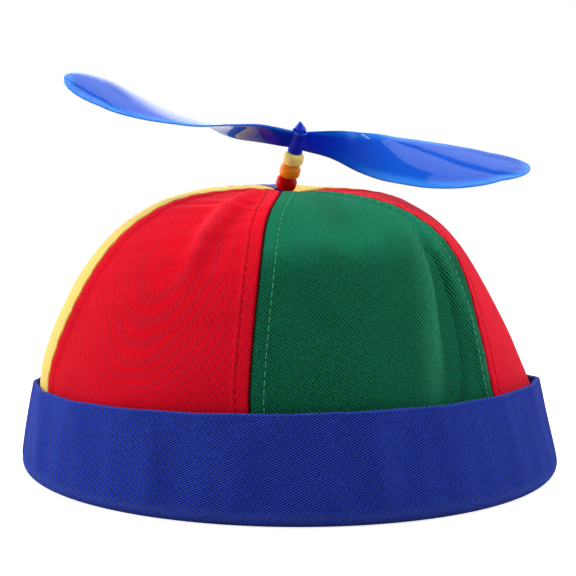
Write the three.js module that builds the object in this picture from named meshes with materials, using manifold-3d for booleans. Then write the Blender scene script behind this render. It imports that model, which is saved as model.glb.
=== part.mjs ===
// Propeller beanie: a six-panel twill skullcap with a turned-up cuff, and a two-bladed propeller that
// spins on a leaning post strung with three barrel beads.
// Millimetres, +Z up, -Y is the front. The origin lies on the surface that the cap rests on, at the
// middle of the cuff's fold. Angles round the cap are counted from the front towards +X.
import * as THREE from 'three';
import { mergeVertices } from 'three/addons/utils/BufferGeometryUtils.js';
import Module from 'manifold-3d';

const wasm = await Module();
wasm.setup();

// Cap
const FOLD_HALF_WIDTH = 96.0; // side to side, outside the cuff's fold
const HEAD_OVAL = 1.0415; // front to back over side to side
const CROWN_HEIGHT = 98.6; // highest cloth above the surface
const CLOTH = 1.2; // crown twill
const BAND = 1.6; // doubled twill of the cuff
const SEAM_GAP = 0.5; // between neighbouring pieces of cloth

// Cuff
const CUFF_HEIGHT = 31.2; // mean height of its free edge
const CUFF_FRONT_RISE = 4.1; // higher at the front than at the sides
const CUFF_FLARE = 5.8; // the fold stands out from the free edge
const CUFF_EASE = 1.3; // room between the free edge and the crown
const CUFF_LEG = 10.2; // height of the inner leg, where the crown is sewn on
const FOLD_ROUND = 3.3; // height of the fold's widest point
const FLAT_WIDTH = 2.6; // flat underside that rests on the surface
const CUFF_SHIFT = -1.3; // the free edge sits off the middle, along SIDE
const CROWN_SHIFT = -3.0; // and so does the crown
const RIM_RADIUS = FOLD_HALF_WIDTH - CUFF_FLARE;
const CROWN_RADIUS = RIM_RADIUS - BAND - CUFF_EASE;

// Post, beads and hub
const SIDE_ANGLE = -22; // degrees from +X: the post leans along it
const LEAN_SIDE_START = 18; // degrees, at the crown
const LEAN_SIDE_END = 13.7; // degrees, at the hub
const LEAN_FORWARD = 18.2; // degrees, at right angles to SIDE
const POST_SHIFT = -2.4; // foot of the post, along SIDE
const POST_RADIUS = 1.1;
const POST_HOLE_RADIUS = 2.9; // in the crown's cloth
const POST_EASE = 0.4; // round the post in each bead
const STACK_GAP = 0.3; // between the pieces along the post
const FLANGE_RADIUS = 5;
const FLANGE_THICKNESS = 1.4;
const FLANGE_DROP = 3.2; // flange below the crown's outside
const BEAD_RADIUS = 3.75;
const BEAD_LENGTH = 4.5;
const BEAD_START = 1.35; // first bead above the crown, along the post
const HUB_RADIUS = 2.6;
const HUB_LENGTH = 8.15;
const HUB_EASE = 0.35; // running clearance of the hub on the post
const HUB_CUP_DEPTH = 1.5; // cup in the hub's top that takes the post's barb
const HUB_WALL = 0.45; // round that cup
const BARB_GAP = 0.3; // between barb and cup
const BARB_HEIGHT = 5.1;

// Propeller
const BLADE_SPAN = 84.4; // axis to tip
const BLADE_CHORD = 33.2; // widest
const BLADE_THICKNESS = 1.0;
const BLADE_TURN = 5.5; // degrees round the hub from SIDE

const CUFF_STEPS = 72;
const PANEL_STEPS = { across: 8, up: 18 };
const ROUND_STEPS = 28;
const BLADE_STEPS = 22;

// The crown's outside from the seam to the post, as shares of its height above the seam and of its
// half-width at the cuff's free edge.
const CROWN_PROFILE = [
  { height: 0.0, radius: 1.03 },
  { height: 0.222, radius: 1.0 },
  { height: 0.392, radius: 0.942 },
  { height: 0.546, radius: 0.865 },
  { height: 0.675, radius: 0.791 },
  { height: 0.777, radius: 0.72 },
  { height: 0.857, radius: 0.642 },
  { height: 0.916, radius: 0.556 },
  { height: 0.957, radius: 0.47 },
  { height: 0.985, radius: 0.356 },
  { height: 0.998, radius: 0.22 },
  { height: 1.0, radius: 0.13 },
  { height: 0.988, radius: POST_HOLE_RADIUS / CROWN_RADIUS },
];
const PANEL_FLATTENING = 0.22; // 0 for a round crown, 1 for flat panels between ridged seams

// The seams in order round the cap, each with the most that it strays sideways, in degrees.
const SEAMS = [
  { angle: -30, stray: 1 },
  { angle: 30, stray: 12.5 },
  { angle: 90, stray: 0 },
  { angle: 150, stray: 1.5 },
  { angle: 210, stray: 0 },
  { angle: 270, stray: 1.5 },
];
const STRAY_MIDDLE = 0.6; // share of the way up where a seam strays most
const STRAY_REACH = 0.23;
const CUFF_SHARE = 0.13; // share of the way up where the crown comes out of the cuff

const PANELS = [
  { name: 'panel_front_green', colour: 0x16553c },
  { name: 'panel_right_front_red', colour: 0xcf1726 },
  { name: 'panel_right_back_yellow', colour: 0xf3da70 },
  { name: 'panel_back_blue', colour: 0x26348e },
  { name: 'panel_left_back_yellow', colour: 0xf3da70 },
  { name: 'panel_left_front_red', colour: 0xcf1726 },
];

// Soft folds of the crown: middle and half-width in degrees round the cap, the share of the way up
// where each starts and ends, and its height as a share of the cloth's thickness.
const CROWN_FOLDS = [
  { angle: 18, spread: 2.6, from: 0.12, to: 0.6, lift: 0.7 },
  { angle: 23, spread: 2.4, from: 0.12, to: 0.6, lift: -0.8 },
  { angle: 4, spread: 5, from: 0.45, to: 0.8, lift: -0.6 },
  { angle: -52, spread: 7, from: 0.5, to: 0.9, lift: 0.8 },
  { angle: -76, spread: 4, from: 0.1, to: 0.25, lift: -0.6 },
];

// Waves of the cuff: middle and half-width in degrees, and height as a share of the band.
const CUFF_WAVES = [
  { angle: -33, spread: 3.5, lift: -0.45 },
  { angle: -21, spread: 3, lift: -0.4 },
  { angle: -15, spread: 2.5, lift: 0.35 },
  { angle: -5, spread: 2.5, lift: 0.35 },
  { angle: 1, spread: 3.5, lift: -0.4 },
];

// The blade from hub to tip: share of the span, share of the widest chord, pitch in degrees, and
// how far its middle lies above the hub's top and ahead of the span line, as shares of the span.
const BLADE_STATIONS = [
  { span: 0.023, chord: 0.2, pitch: 74, rise: -0.043, sweep: -0.002 },
  { span: 0.16, chord: 0.315, pitch: 55, rise: -0.039, sweep: -0.012 },
  { span: 0.282, chord: 0.52, pitch: 34.6, rise: -0.05, sweep: -0.008 },
  { span: 0.41, chord: 0.8, pitch: 16.5, rise: -0.048, sweep: 0.007 },
  { span: 0.553, chord: 0.95, pitch: 10, rise: -0.04, sweep: 0.013 },
  { span: 0.705, chord: 1.0, pitch: 4, rise: -0.02, sweep: 0.016 },
  { span: 0.847, chord: 0.82, pitch: -1, rise: 0.006, sweep: 0.015 },
  { span: 1.0, chord: 0, pitch: -4, rise: 0.031, sweep: 0.011 },
];
const TIP_START = 0.847; // from here to the tip the outline is half an ellipse

const CROWN_FOOT = CUFF_LEG + SEAM_GAP;
const LEG_RADIUS = CROWN_RADIUS * CROWN_PROFILE[0].radius;
const APEX_HEIGHT = CROWN_FOOT + (CROWN_HEIGHT - CROWN_FOOT) * CROWN_PROFILE.at(-1).height;
const HUB_START = BEAD_START + 3 * (BEAD_LENGTH + STACK_GAP);
const HUB_END = HUB_START + HUB_LENGTH;

const rad = THREE.MathUtils.degToRad;
const { lerp, smoothstep } = THREE.MathUtils;
const SIDE = new THREE.Vector3(Math.cos(rad(SIDE_ANGLE)), Math.sin(rad(SIDE_ANGLE)), 0);
const FORWARD = new THREE.Vector3(SIDE.y, -SIDE.x, 0);
const UP = new THREE.Vector3(0, 0, 1);

// A smooth hump: 1 in the middle, near 0 at twice the spread.
const hump = (x, middle, spread) => Math.exp(-(((x - middle) / spread) ** 2));

// Angle between two directions round the cap, in degrees from -180 to 180.
const turnBetween = (a, b) => THREE.MathUtils.euclideanModulo(a - b + 180, 360) - 180;

// A point of an oval ring round the cap, moved along SIDE by shift.
function ringPoint(angle, radius, height, shift) {
  const x = radius * Math.sin(angle);
  const y = -radius * HEAD_OVAL * Math.cos(angle);
  return new THREE.Vector3(x, y, height).addScaledVector(SIDE, shift);
}

// A smooth curve through rows of a table, read at any share of the first column.
function readTable(rows, key, column, at) {
  const last = rows.length - 1;
  let i = rows.findIndex((row) => row[key] > at) - 1;
  if (i < 0) i = at <= rows[0][key] ? 0 : last - 1;
  const step = rows[i + 1][key] - rows[i][key];
  const t = THREE.MathUtils.clamp((at - rows[i][key]) / step, 0, 1);
  const slope = (k) => {
    const a = Math.max(k - 1, 0);
    const b = Math.min(k + 1, last);
    return (rows[b][column] - rows[a][column]) / (rows[b][key] - rows[a][key]);
  };
  const [h00, h10] = [(1 + 2 * t) * (1 - t) ** 2, t * (1 - t) ** 2];
  const [h01, h11] = [t * t * (3 - 2 * t), t * t * (t - 1)];
  const ends = h00 * rows[i][column] + h01 * rows[i + 1][column];
  return ends + step * (h10 * slope(i) + h11 * slope(i + 1));
}

// A closed mesh from loops of an even number of points. The loops join up if round, and otherwise
// the first and the last are closed by strips between their two halves.
function loftLoops(loops, round) {
  const n = loops[0].length;
  const positions = loops.flat().flatMap((p) => [p.x, p.y, p.z]);
  const faces = [];
  const rows = round ? loops.length : loops.length - 1;
  for (let i = 0; i < rows; i++) {
    for (let k = 0; k < n; k++) {
      const [a, b] = [i * n + k, i * n + ((k + 1) % n)];
      const [c, d] = [((i + 1) % loops.length) * n + k, ((i + 1) % loops.length) * n + ((k + 1) % n)];
      faces.push(a, b, d, a, d, c);
    }
  }
  const end = (loops.length - 1) * n;
  for (let k = 0; !round && k < n / 2 - 1; k++) {
    const [a, b, c, d] = [k, k + 1, n - 2 - k, n - 1 - k];
    faces.push(a, c, b, a, d, c);
    faces.push(end + a, end + b, end + c, end + a, end + c, end + d);
  }
  const geometry = new THREE.BufferGeometry();
  geometry.setAttribute('position', new THREE.Float32BufferAttribute(positions, 3));
  geometry.setIndex(faces);
  geometry.computeVertexNormals();
  return geometry;
}

// A body of revolution round +Z from [radius, height] pairs that close on themselves.
function turned(profile) {
  const points = [...profile, profile[0]].map(([r, z]) => new THREE.Vector2(r, z));
  return new THREE.LatheGeometry(points, ROUND_STEPS).rotateX(Math.PI / 2);
}

function toSolid(geometry) {
  const bare = geometry.clone();
  bare.deleteAttribute('normal');
  bare.deleteAttribute('uv');
  const merged = mergeVertices(bare);
  const mesh = new wasm.Mesh({
    numProp: 3,
    vertProperties: merged.attributes.position.array,
    triVerts: new Uint32Array(merged.index.array),
  });
  return new wasm.Manifold(mesh);
}

function toGeometry(solid) {
  const { vertProperties, triVerts } = solid.getMesh();
  const geometry = new THREE.BufferGeometry();
  geometry.setAttribute('position', new THREE.BufferAttribute(vertProperties, 3));
  geometry.setIndex(new THREE.BufferAttribute(triVerts, 1));
  geometry.computeVertexNormals();
  return geometry;
}

function piece(name, geometry, colour, roughness) {
  const material = new THREE.MeshStandardMaterial({ color: colour, roughness, metalness: 0 });
  const mesh = new THREE.Mesh(geometry, material);
  mesh.name = name;
  return mesh;
}

// Height of the cuff's free edge.
const rimHeight = (angle) => CUFF_HEIGHT + CUFF_FRONT_RISE * Math.cos(angle);

// How far the cuff's outer wall is pushed out at an angle and a share of the way up.
function cuffWave(angle, share) {
  const degrees = THREE.MathUtils.radToDeg(angle);
  let out = 0;
  for (const wave of CUFF_WAVES) {
    out += wave.lift * hump(turnBetween(degrees, wave.angle), 0, wave.spread);
  }
  return BAND * out * Math.sin(Math.PI * Math.min(share * 1.1, 1));
}

// The cuff's section at an angle, once round: underside, fold, outer wall, free edge, back down
// inside the outer wall, across the bottom of the fold and round the inner leg.
function cuffSection(angle) {
  const rim = rimHeight(angle);
  const legInner = LEG_RADIUS - CLOTH;
  const flatInner = legInner + 2;
  const foot = FOLD_HALF_WIDTH - 1.7;
  const at = (radius, height) => {
    const share = THREE.MathUtils.clamp((height - FOLD_ROUND) / (rim - FOLD_ROUND), 0, 1);
    const shift = CUFF_SHIFT * share;
    return ringPoint(angle, radius + (share > 0 ? cuffWave(angle, share) : 0), height, shift);
  };
  const wall = (share, inset) => {
    const height = lerp(FOLD_ROUND, rim, share);
    const lean = CUFF_FLARE * share ** 1.15;
    return at(FOLD_HALF_WIDTH - lean - inset, height);
  };
  const edge = BAND / 2;
  return [
    at(flatInner, 0),
    at(flatInner + FLAT_WIDTH, 0),
    at(foot, FOLD_ROUND * 0.15),
    at(FOLD_HALF_WIDTH - 0.4, FOLD_ROUND * 0.5),
    wall(0, 0),
    wall(0.25, 0),
    wall(0.5, 0),
    wall(0.75, 0),
    wall(0.97, 0),
    wall(1, edge * 0.5),
    wall(1, edge * 1.5),
    wall(0.97, BAND),
    wall(0.75, BAND),
    wall(0.5, BAND),
    wall(0.2, BAND),
    at(FOLD_HALF_WIDTH - 2.6, FOLD_ROUND),
    at(LEG_RADIUS + 1, FOLD_ROUND - 0.6),
    at(LEG_RADIUS, FOLD_ROUND + 2),
    ringPoint(angle, LEG_RADIUS, CUFF_LEG, 0),
    ringPoint(angle, legInner, CUFF_LEG, 0),
    at(legInner, FOLD_ROUND),
    at(legInner + 0.5, FOLD_ROUND * 0.25),
  ];
}

function makeCuff() {
  const loops = [];
  for (let i = CUFF_STEPS; i > 0; i--) loops.push(cuffSection((i / CUFF_STEPS) * Math.PI * 2));
  return piece('cuff', loftLoops(loops, true), 0x26348e, 0.9);
}

// The crown's profile as a smooth curve, x the radius and y the height.
const crownCurve = new THREE.SplineCurve(
  CROWN_PROFILE.map(({ height, radius }) => {
    return new THREE.Vector2(radius * CROWN_RADIUS, lerp(CROWN_FOOT, CROWN_HEIGHT, height));
  }),
);

// The leaning post tips the cloth round its foot.
function postPull(point) {
  const foot = SIDE.clone().multiplyScalar(POST_SHIFT);
  const away = point.clone().sub(foot).setZ(0);
  const reach = hump(away.length(), 0, BEAD_RADIUS * 2.4);
  const tip = away.dot(SIDE) * Math.tan(rad(LEAN_SIDE_START)) + away.dot(FORWARD) * Math.tan(rad(LEAN_FORWARD));
  return -0.75 * tip * reach;
}

// A point of the crown's outside at an angle round the cap, a share of the way up and the offset
// of its panel's middle, all angles in degrees.
function crownPoint(angle, share, fromMiddle) {
  const { x: radius, y: height } = crownCurve.getPointAt(share);
  const above = THREE.MathUtils.clamp((share - CUFF_SHARE) / (0.95 - CUFF_SHARE), 0, 1);
  const rounding = Math.sin(Math.PI * above);
  const ridge = 1 + PANEL_FLATTENING * rounding * (1 / Math.cos(rad(fromMiddle)) - 1);
  let fold = 0;
  for (const { angle: middle, spread, from, to, lift } of CROWN_FOLDS) {
    const along = THREE.MathUtils.clamp((share - from) / (to - from), 0, 1);
    fold += lift * CLOTH * Math.sin(Math.PI * along) ** 2 * hump(turnBetween(angle, middle), 0, spread);
  }
  const rise = (height - CROWN_FOOT) / (CROWN_HEIGHT - CROWN_FOOT);
  const shift = CROWN_SHIFT * smoothstep(rise, 0, 0.35);
  const point = ringPoint(rad(angle), radius * ridge + fold, height, shift);
  point.z += postPull(point);
  return point;
}

// Where a seam runs at a share of the way up, in degrees.
function seamAngle(seam, share) {
  return seam.angle + seam.stray * hump(share, STRAY_MIDDLE, STRAY_REACH);
}

// One crown panel, a wall of cloth between two seams with half a seam gap on each side.
function makePanel(index) {
  const [low, high] = [SEAMS[index], SEAMS[(index + 1) % SEAMS.length]];
  const wide = index === SEAMS.length - 1 ? 360 : 0;
  const { across, up } = PANEL_STEPS;
  const outer = [];
  const inner = [];
  for (let j = 0; j <= up; j++) {
    const share = j / up;
    const radius = crownCurve.getPointAt(share).x;
    const gap = THREE.MathUtils.radToDeg(SEAM_GAP / 2 / radius);
    const [start, end] = [seamAngle(low, share) + gap, seamAngle(high, share) + wide - gap];
    const middle = (start + end) / 2;
    const row = (a, s) => crownPoint(a, s, ((a - middle) / (end - start)) * 60);
    for (let i = 0; i <= across; i++) {
      const angle = lerp(start, end, i / across);
      const point = row(angle, share);
      const step = 0.004;
      const [s0, s1] = [Math.max(share - step, 0), Math.min(share + step, 1)];
      const along = row(angle + 0.5, share).sub(row(angle - 0.5, share));
      const upward = row(angle, s1).sub(row(angle, s0));
      const normal = along.cross(upward).normalize();
      outer.push(point);
      if (share === 0) normal.setZ(0).normalize();
      if (share === 1) normal.set(0, 0, 1);
      inner.push(point.clone().addScaledVector(normal, -CLOTH));
    }
  }
  // Each loop runs once round the wall's section: outside left to right, then back inside.
  const loops = [];
  for (let j = 0; j <= up; j++) {
    const from = j * (across + 1);
    const face = outer.slice(from, from + across + 1);
    const back = inner.slice(from, from + across + 1).reverse();
    loops.push([...face, ...back]);
  }
  const { name, colour } = PANELS[index];
  return piece(name, loftLoops(loops, false), colour, 0.95);
}

// Where the post is at a length along it from the crown's outside, and where it points.
function postAt(length) {
  const direction = (s) => {
    const side = lerp(LEAN_SIDE_START, LEAN_SIDE_END, smoothstep(s, 0, HUB_START));
    return UP.clone()
      .addScaledVector(SIDE, Math.tan(rad(side)))
      .addScaledVector(FORWARD, Math.tan(rad(LEAN_FORWARD)))
      .normalize();
  };
  const point = SIDE.clone().multiplyScalar(POST_SHIFT).setZ(APEX_HEIGHT);
  const steps = 40;
  for (let i = 0; i < steps; i++) {
    point.addScaledVector(direction((length * (i + 0.5)) / steps), length / steps);
  }
  return { point, direction: direction(length) };
}

// Stands a piece that was made round +Z on the post at a length along it.
function standOnPost(mesh, length) {
  const { point, direction } = postAt(length);
  mesh.position.copy(point);
  mesh.quaternion.setFromUnitVectors(UP, direction);
  return mesh;
}

// The post in one piece: flange inside the crown, round pin along the lean, and the pointed barb
// that keeps the hub on.
function makePost() {
  const barb = HUB_END - HUB_CUP_DEPTH + BARB_GAP;
  const barbRadius = HUB_RADIUS - HUB_WALL - BARB_GAP;
  const foot = -FLANGE_DROP;
  const rows = [
    { at: foot - FLANGE_THICKNESS, radius: FLANGE_RADIUS - 0.4 },
    { at: foot - FLANGE_THICKNESS + 0.3, radius: FLANGE_RADIUS },
    { at: foot - 0.3, radius: FLANGE_RADIUS },
    { at: foot, radius: FLANGE_RADIUS - 0.4 },
    { at: foot + 0.02, radius: POST_RADIUS },
  ];
  const bends = 10;
  for (let i = 0; i <= bends; i++) rows.push({ at: (HUB_START * i) / bends, radius: POST_RADIUS });
  rows.push({ at: barb - 0.02, radius: POST_RADIUS });
  rows.push({ at: barb, radius: barbRadius });
  rows.push({ at: barb + 0.5, radius: barbRadius });
  rows.push({ at: barb + BARB_HEIGHT - 0.35, radius: 0.3 });
  rows.push({ at: barb + BARB_HEIGHT, radius: 0.08 });
  const loops = rows.map(({ at, radius }) => {
    const { point, direction } = postAt(at);
    const turn = new THREE.Quaternion().setFromUnitVectors(UP, direction);
    const loop = [];
    for (let k = 0; k < ROUND_STEPS; k++) {
      const a = (k / ROUND_STEPS) * Math.PI * 2;
      const spoke = new THREE.Vector3(Math.cos(a) * radius, Math.sin(a) * radius, 0);
      loop.push(spoke.applyQuaternion(turn).add(point));
    }
    return loop;
  });
  return piece('post', loftLoops(loops, false), 0x2a46c8, 0.35);
}

// A barrel bead with its bore.
function makeBead(name, colour, order) {
  const half = BEAD_LENGTH / 2;
  const bore = POST_RADIUS + POST_EASE;
  const profile = [[bore, half], [bore, -half]];
  const rows = 8;
  for (let i = 0; i <= rows; i++) {
    const z = -half + (BEAD_LENGTH * i) / rows;
    profile.push([BEAD_RADIUS * (1 - 0.24 * Math.abs(z / half) ** 2.6), z]);
  }
  const mesh = piece(name, turned(profile), colour, 0.3);
  return standOnPost(mesh, BEAD_START + half + order * (BEAD_LENGTH + STACK_GAP));
}

// One blade along +X from inside the hub's wall, its leading edge towards -Y, +Z along the axis.
function bladeSolid() {
  const root = BLADE_STATIONS[0].span;
  const outline = [
    [1, 0], [0.96, -0.6], [0.5, -1], [0, -1], [-0.5, -1], [-0.96, -0.6],
    [-1, 0], [-0.96, 0.6], [-0.5, 1], [0, 1], [0.5, 1], [0.96, 0.6],
  ];
  const tipChord = readTable(BLADE_STATIONS, 'span', 'chord', TIP_START);
  const loops = [];
  for (let i = 0; i <= BLADE_STEPS; i++) {
    const even = i / BLADE_STEPS;
    const span = root + (0.9985 - root) * (1 - (1 - even) ** 1.35);
    const past = Math.max((span - TIP_START) / (1 - TIP_START), 0);
    const chord = past > 0 ? tipChord * Math.sqrt(1 - past ** 2) : readTable(BLADE_STATIONS, 'span', 'chord', span);
    const pitch = rad(readTable(BLADE_STATIONS, 'span', 'pitch', span));
    const middle = new THREE.Vector3(
      span * BLADE_SPAN,
      -readTable(BLADE_STATIONS, 'span', 'sweep', span) * BLADE_SPAN,
      readTable(BLADE_STATIONS, 'span', 'rise', span) * BLADE_SPAN,
    );
    const ahead = new THREE.Vector3(0, -Math.cos(pitch), -Math.sin(pitch));
    const over = new THREE.Vector3(0, -Math.sin(pitch), Math.cos(pitch));
    loops.push(
      outline.map(([a, b]) => {
        return middle
          .clone()
          .addScaledVector(ahead, (a * chord * BLADE_CHORD) / 2)
          .addScaledVector(over, (b * BLADE_THICKNESS) / 2);
      }),
    );
  }
  return toSolid(loftLoops(loops, false));
}

// The hub and its two blades, moulded as one, with the bore and the cup cut after joining.
function makePropeller() {
  const cup = HUB_RADIUS - HUB_WALL;
  const bore = POST_RADIUS + HUB_EASE;
  const beyond = 2;
  const hub = toSolid(turned([[0, -HUB_LENGTH], [HUB_RADIUS - 0.1, -HUB_LENGTH], [HUB_RADIUS, 0], [0, 0]]));
  const cutter = toSolid(
    turned([
      [0, -HUB_LENGTH - beyond],
      [bore, -HUB_LENGTH - beyond],
      [bore, -HUB_CUP_DEPTH],
      [cup, -HUB_CUP_DEPTH],
      [cup, beyond],
      [0, beyond],
    ]),
  );
  const blade = bladeSolid();
  const solid = hub.add(blade).add(blade.rotate([0, 0, 180])).subtract(cutter);
  const mesh = piece('propeller', toGeometry(solid), 0x1440cf, 0.15);
  const { point, direction } = postAt(HUB_END);
  const level = SIDE.clone().addScaledVector(direction, -SIDE.dot(direction)).normalize();
  const span = level.clone().applyAxisAngle(direction, rad(BLADE_TURN));
  const across = direction.clone().cross(span);
  mesh.quaternion.setFromRotationMatrix(new THREE.Matrix4().makeBasis(span, across, direction));
  mesh.position.copy(point);
  return mesh;
}

const beanie = new THREE.Group();
beanie.name = 'propeller_beanie';
beanie.add(makeCuff());
PANELS.forEach((_, index) => beanie.add(makePanel(index)));
beanie.add(makePost());
beanie.add(makeBead('bead_red', 0x8c0a0a, 0));
beanie.add(makeBead('bead_orange', 0xdb5f10, 1));
beanie.add(makeBead('bead_yellow', 0xc4a546, 2));
beanie.add(makePropeller());

export default beanie;
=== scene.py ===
"""Looks of a propeller beanie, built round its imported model.

Six twill crown panels and a turned-up twill cuff are made as cloth with seams, topstitching, folds and
weave. The pony beads, their post and the two-bladed propeller are moulded plastic.
Lengths are millimetres until a mesh is made. +Z is up, -Y is the front, and angles round the cap are
counted in degrees from the front towards +X.
"""

import logging
import math
from dataclasses import dataclass, field
from enum import Enum

import bpy
import numpy as np
from mathutils import Matrix, Vector

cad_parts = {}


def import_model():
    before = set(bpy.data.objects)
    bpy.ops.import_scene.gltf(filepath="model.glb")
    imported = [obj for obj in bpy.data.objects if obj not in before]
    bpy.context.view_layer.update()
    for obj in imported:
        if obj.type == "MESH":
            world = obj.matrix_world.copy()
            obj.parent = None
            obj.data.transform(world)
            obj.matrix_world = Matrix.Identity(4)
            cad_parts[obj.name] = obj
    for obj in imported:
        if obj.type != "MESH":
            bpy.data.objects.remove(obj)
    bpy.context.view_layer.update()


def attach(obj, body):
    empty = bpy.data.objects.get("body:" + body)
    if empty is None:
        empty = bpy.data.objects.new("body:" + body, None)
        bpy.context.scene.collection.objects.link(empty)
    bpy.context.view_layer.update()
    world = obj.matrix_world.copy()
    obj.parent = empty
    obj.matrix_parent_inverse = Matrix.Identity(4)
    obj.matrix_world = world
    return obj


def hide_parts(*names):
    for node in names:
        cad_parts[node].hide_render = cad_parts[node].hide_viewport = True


MM = 0.001
CLOTH_MAP = "cloth_grain"
# cloth rubbing, with painted light on raised creases and painted shade in seams and sunk creases
WEAR_AND_SHADE_ATTRIBUTE = "wear_and_shade"
THIN_ATTRIBUTE = "thinness"  # 0 in thick plastic, 1 in a blade, 2 at its edge; it sets where the plastic is painted darker as shade and lighter as light coming through
MIX_FACTOR, MIX_A, MIX_B, MIX_RESULT = 0, 6, 7, 2  # sockets of a Mix node that is set to colour
WAVE_TURN = 2 * math.pi / 20  # what one period of a Wave Texture measures at scale 1

log = logging.getLogger("beanie")


# Small helpers


def linear(code: str) -> tuple[float, float, float, float]:
    """Turns an sRGB hex colour into the linear colour that shaders take.

    Args:
        code: Six hex digits after a hash.

    Returns:
        Red, green, blue and an alpha of 1.
    """
    channels = [int(code[i : i + 2], 16) / 255 for i in (1, 3, 5)]
    made = [c / 12.92 if c <= 0.04045 else ((c + 0.055) / 1.055) ** 2.4 for c in channels]
    return (*made, 1.0)


def add_node(tree: bpy.types.NodeTree, kind: str, inputs: dict | None = None, **settings) -> bpy.types.Node:
    """Adds a node to a tree with its settings and links.

    Args:
        tree: The node tree.
        kind: The node's type, such as ShaderNodeBump.
        inputs: Sockets by name or number, each with a value or with the output that feeds it.
        **settings: Properties of the node.

    Returns:
        The new node.
    """
    node = tree.nodes.new(kind)
    for name, value in settings.items():
        setattr(node, name, value)
    for name, value in (inputs or {}).items():
        if isinstance(value, bpy.types.NodeSocket):
            tree.links.new(value, node.inputs[name])
        else:
            node.inputs[name].default_value = value
    return node


def new_material(name: str) -> tuple[bpy.types.Material, bpy.types.NodeTree]:
    """Makes a material without nodes, and gives it with its node tree."""
    material = bpy.data.materials.new(name)
    material.use_nodes = True
    material.node_tree.nodes.clear()
    return material, material.node_tree


def dress(tree: bpy.types.NodeTree, surface: dict) -> None:
    """Ends a material's tree with one surface shader that has these values and links."""
    shader = add_node(tree, "ShaderNodeBsdfPrincipled", surface)
    add_node(tree, "ShaderNodeOutputMaterial", {"Surface": shader.outputs["BSDF"]})


def map_range(
    tree: bpy.types.NodeTree,
    value: bpy.types.NodeSocket,
    read: tuple[float, float] = (0.0, 1.0),
    made: tuple[float, float] = (0.0, 1.0),
    smooth: bool = False,
) -> bpy.types.NodeSocket:
    """Adds a node that turns one range of values into another.

    Args:
        tree: The node tree.
        value: The output that is read.
        read: Its range.
        made: What the two ends of that range become.
        smooth: True eases from one end to the other.

    Returns:
        The node's output.
    """
    inputs = {
        "Value": value, "From Min": read[0], "From Max": read[1], "To Min": made[0], "To Max": made[1]
    }
    kind = "SMOOTHSTEP" if smooth else "LINEAR"
    return add_node(tree, "ShaderNodeMapRange", inputs, interpolation_type=kind).outputs["Result"]


def calculate(
    tree: bpy.types.NodeTree, operation: str, *terms: bpy.types.NodeSocket | float, clamp: bool = False
) -> bpy.types.NodeSocket:
    """Adds a node that does one sum.

    Args:
        tree: The node tree.
        operation: The sum, as Blender names it.
        *terms: What goes into it, in order.
        clamp: True keeps the result from 0 to 1.

    Returns:
        The node's output.
    """
    inputs = dict(enumerate(terms))
    return add_node(tree, "ShaderNodeMath", inputs, operation=operation, use_clamp=clamp).outputs["Value"]


def mix_colours(
    tree: bpy.types.NodeTree,
    share: bpy.types.NodeSocket,
    first: bpy.types.NodeSocket | tuple,
    second: bpy.types.NodeSocket | tuple,
) -> bpy.types.NodeSocket:
    """Adds a node that goes from the first colour to the second as the share goes from 0 to 1."""
    inputs = {MIX_FACTOR: share, MIX_A: first, MIX_B: second}
    return add_node(tree, "ShaderNodeMix", inputs, data_type="RGBA").outputs[MIX_RESULT]


def mix_values(
    tree: bpy.types.NodeTree,
    share: bpy.types.NodeSocket,
    first: bpy.types.NodeSocket | float,
    second: bpy.types.NodeSocket | float,
) -> bpy.types.NodeSocket:
    """Adds a node that goes from the first value to the second as the share goes from 0 to 1."""
    inputs = {0: share, 2: first, 3: second}
    return add_node(tree, "ShaderNodeMix", inputs, data_type="FLOAT").outputs[0]


def shaded(
    tree: bpy.types.NodeTree, colour: bpy.types.NodeSocket | tuple, value: bpy.types.NodeSocket
) -> bpy.types.NodeSocket:
    """Adds a node that makes a colour lighter or darker by a factor."""
    inputs = {"Color": colour, "Value": value}
    return add_node(tree, "ShaderNodeHueSaturation", inputs).outputs["Color"]


def noise(
    tree: bpy.types.NodeTree,
    place: bpy.types.NodeSocket,
    scale: float,
    detail: float,
    roughness: float = 0.5,
) -> bpy.types.NodeSocket:
    """Adds a soft random pattern with this many spots to a unit of the place that it is read at."""
    inputs = {"Vector": place, "Scale": scale, "Detail": detail, "Roughness": roughness}
    return add_node(tree, "ShaderNodeTexNoise", inputs).outputs["Fac"]


def bump(
    tree: bpy.types.NodeTree, height: bpy.types.NodeSocket, relief: float, strength: float = 1.0
) -> bpy.types.NodeSocket:
    """Adds a relief of so many millimetres to the surface, and gives its normal."""
    inputs = {"Height": height, "Distance": relief * MM, "Strength": strength}
    return add_node(tree, "ShaderNodeBump", inputs).outputs["Normal"]


def attribute_of(tree: bpy.types.NodeTree, name: str) -> bpy.types.NodeSocket:
    """Adds a node that reads a value which the mesh carries."""
    return add_node(
        tree, "ShaderNodeAttribute", attribute_name=name, attribute_type="GEOMETRY"
    ).outputs["Fac"]


def hump(x: np.ndarray, spread: float) -> np.ndarray:
    """A smooth hump, 1 at zero and near 0 at twice the spread."""
    return np.exp(-((x / spread) ** 2))


def ease(x: np.ndarray, low: float, high: float) -> np.ndarray:
    """A smooth step from 0 at low to 1 at high."""
    t = np.clip((x - low) / (high - low), 0, 1)
    return t * t * (3 - 2 * t)


def turn_between(a: np.ndarray, b: float) -> np.ndarray:
    """The angle from b to a round the cap, from -180 to 180 degrees."""
    return (a - b + 180) % 360 - 180


def unit(vectors: np.ndarray) -> np.ndarray:
    """The vectors scaled to length 1."""
    return vectors / np.linalg.norm(vectors, axis=-1, keepdims=True)


def lengths_along(points: np.ndarray) -> np.ndarray:
    """How far each point of a line is along it, starting at 0."""
    steps = np.linalg.norm(np.diff(points, axis=0), axis=1)
    return np.concatenate([[0], np.cumsum(steps)])


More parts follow.
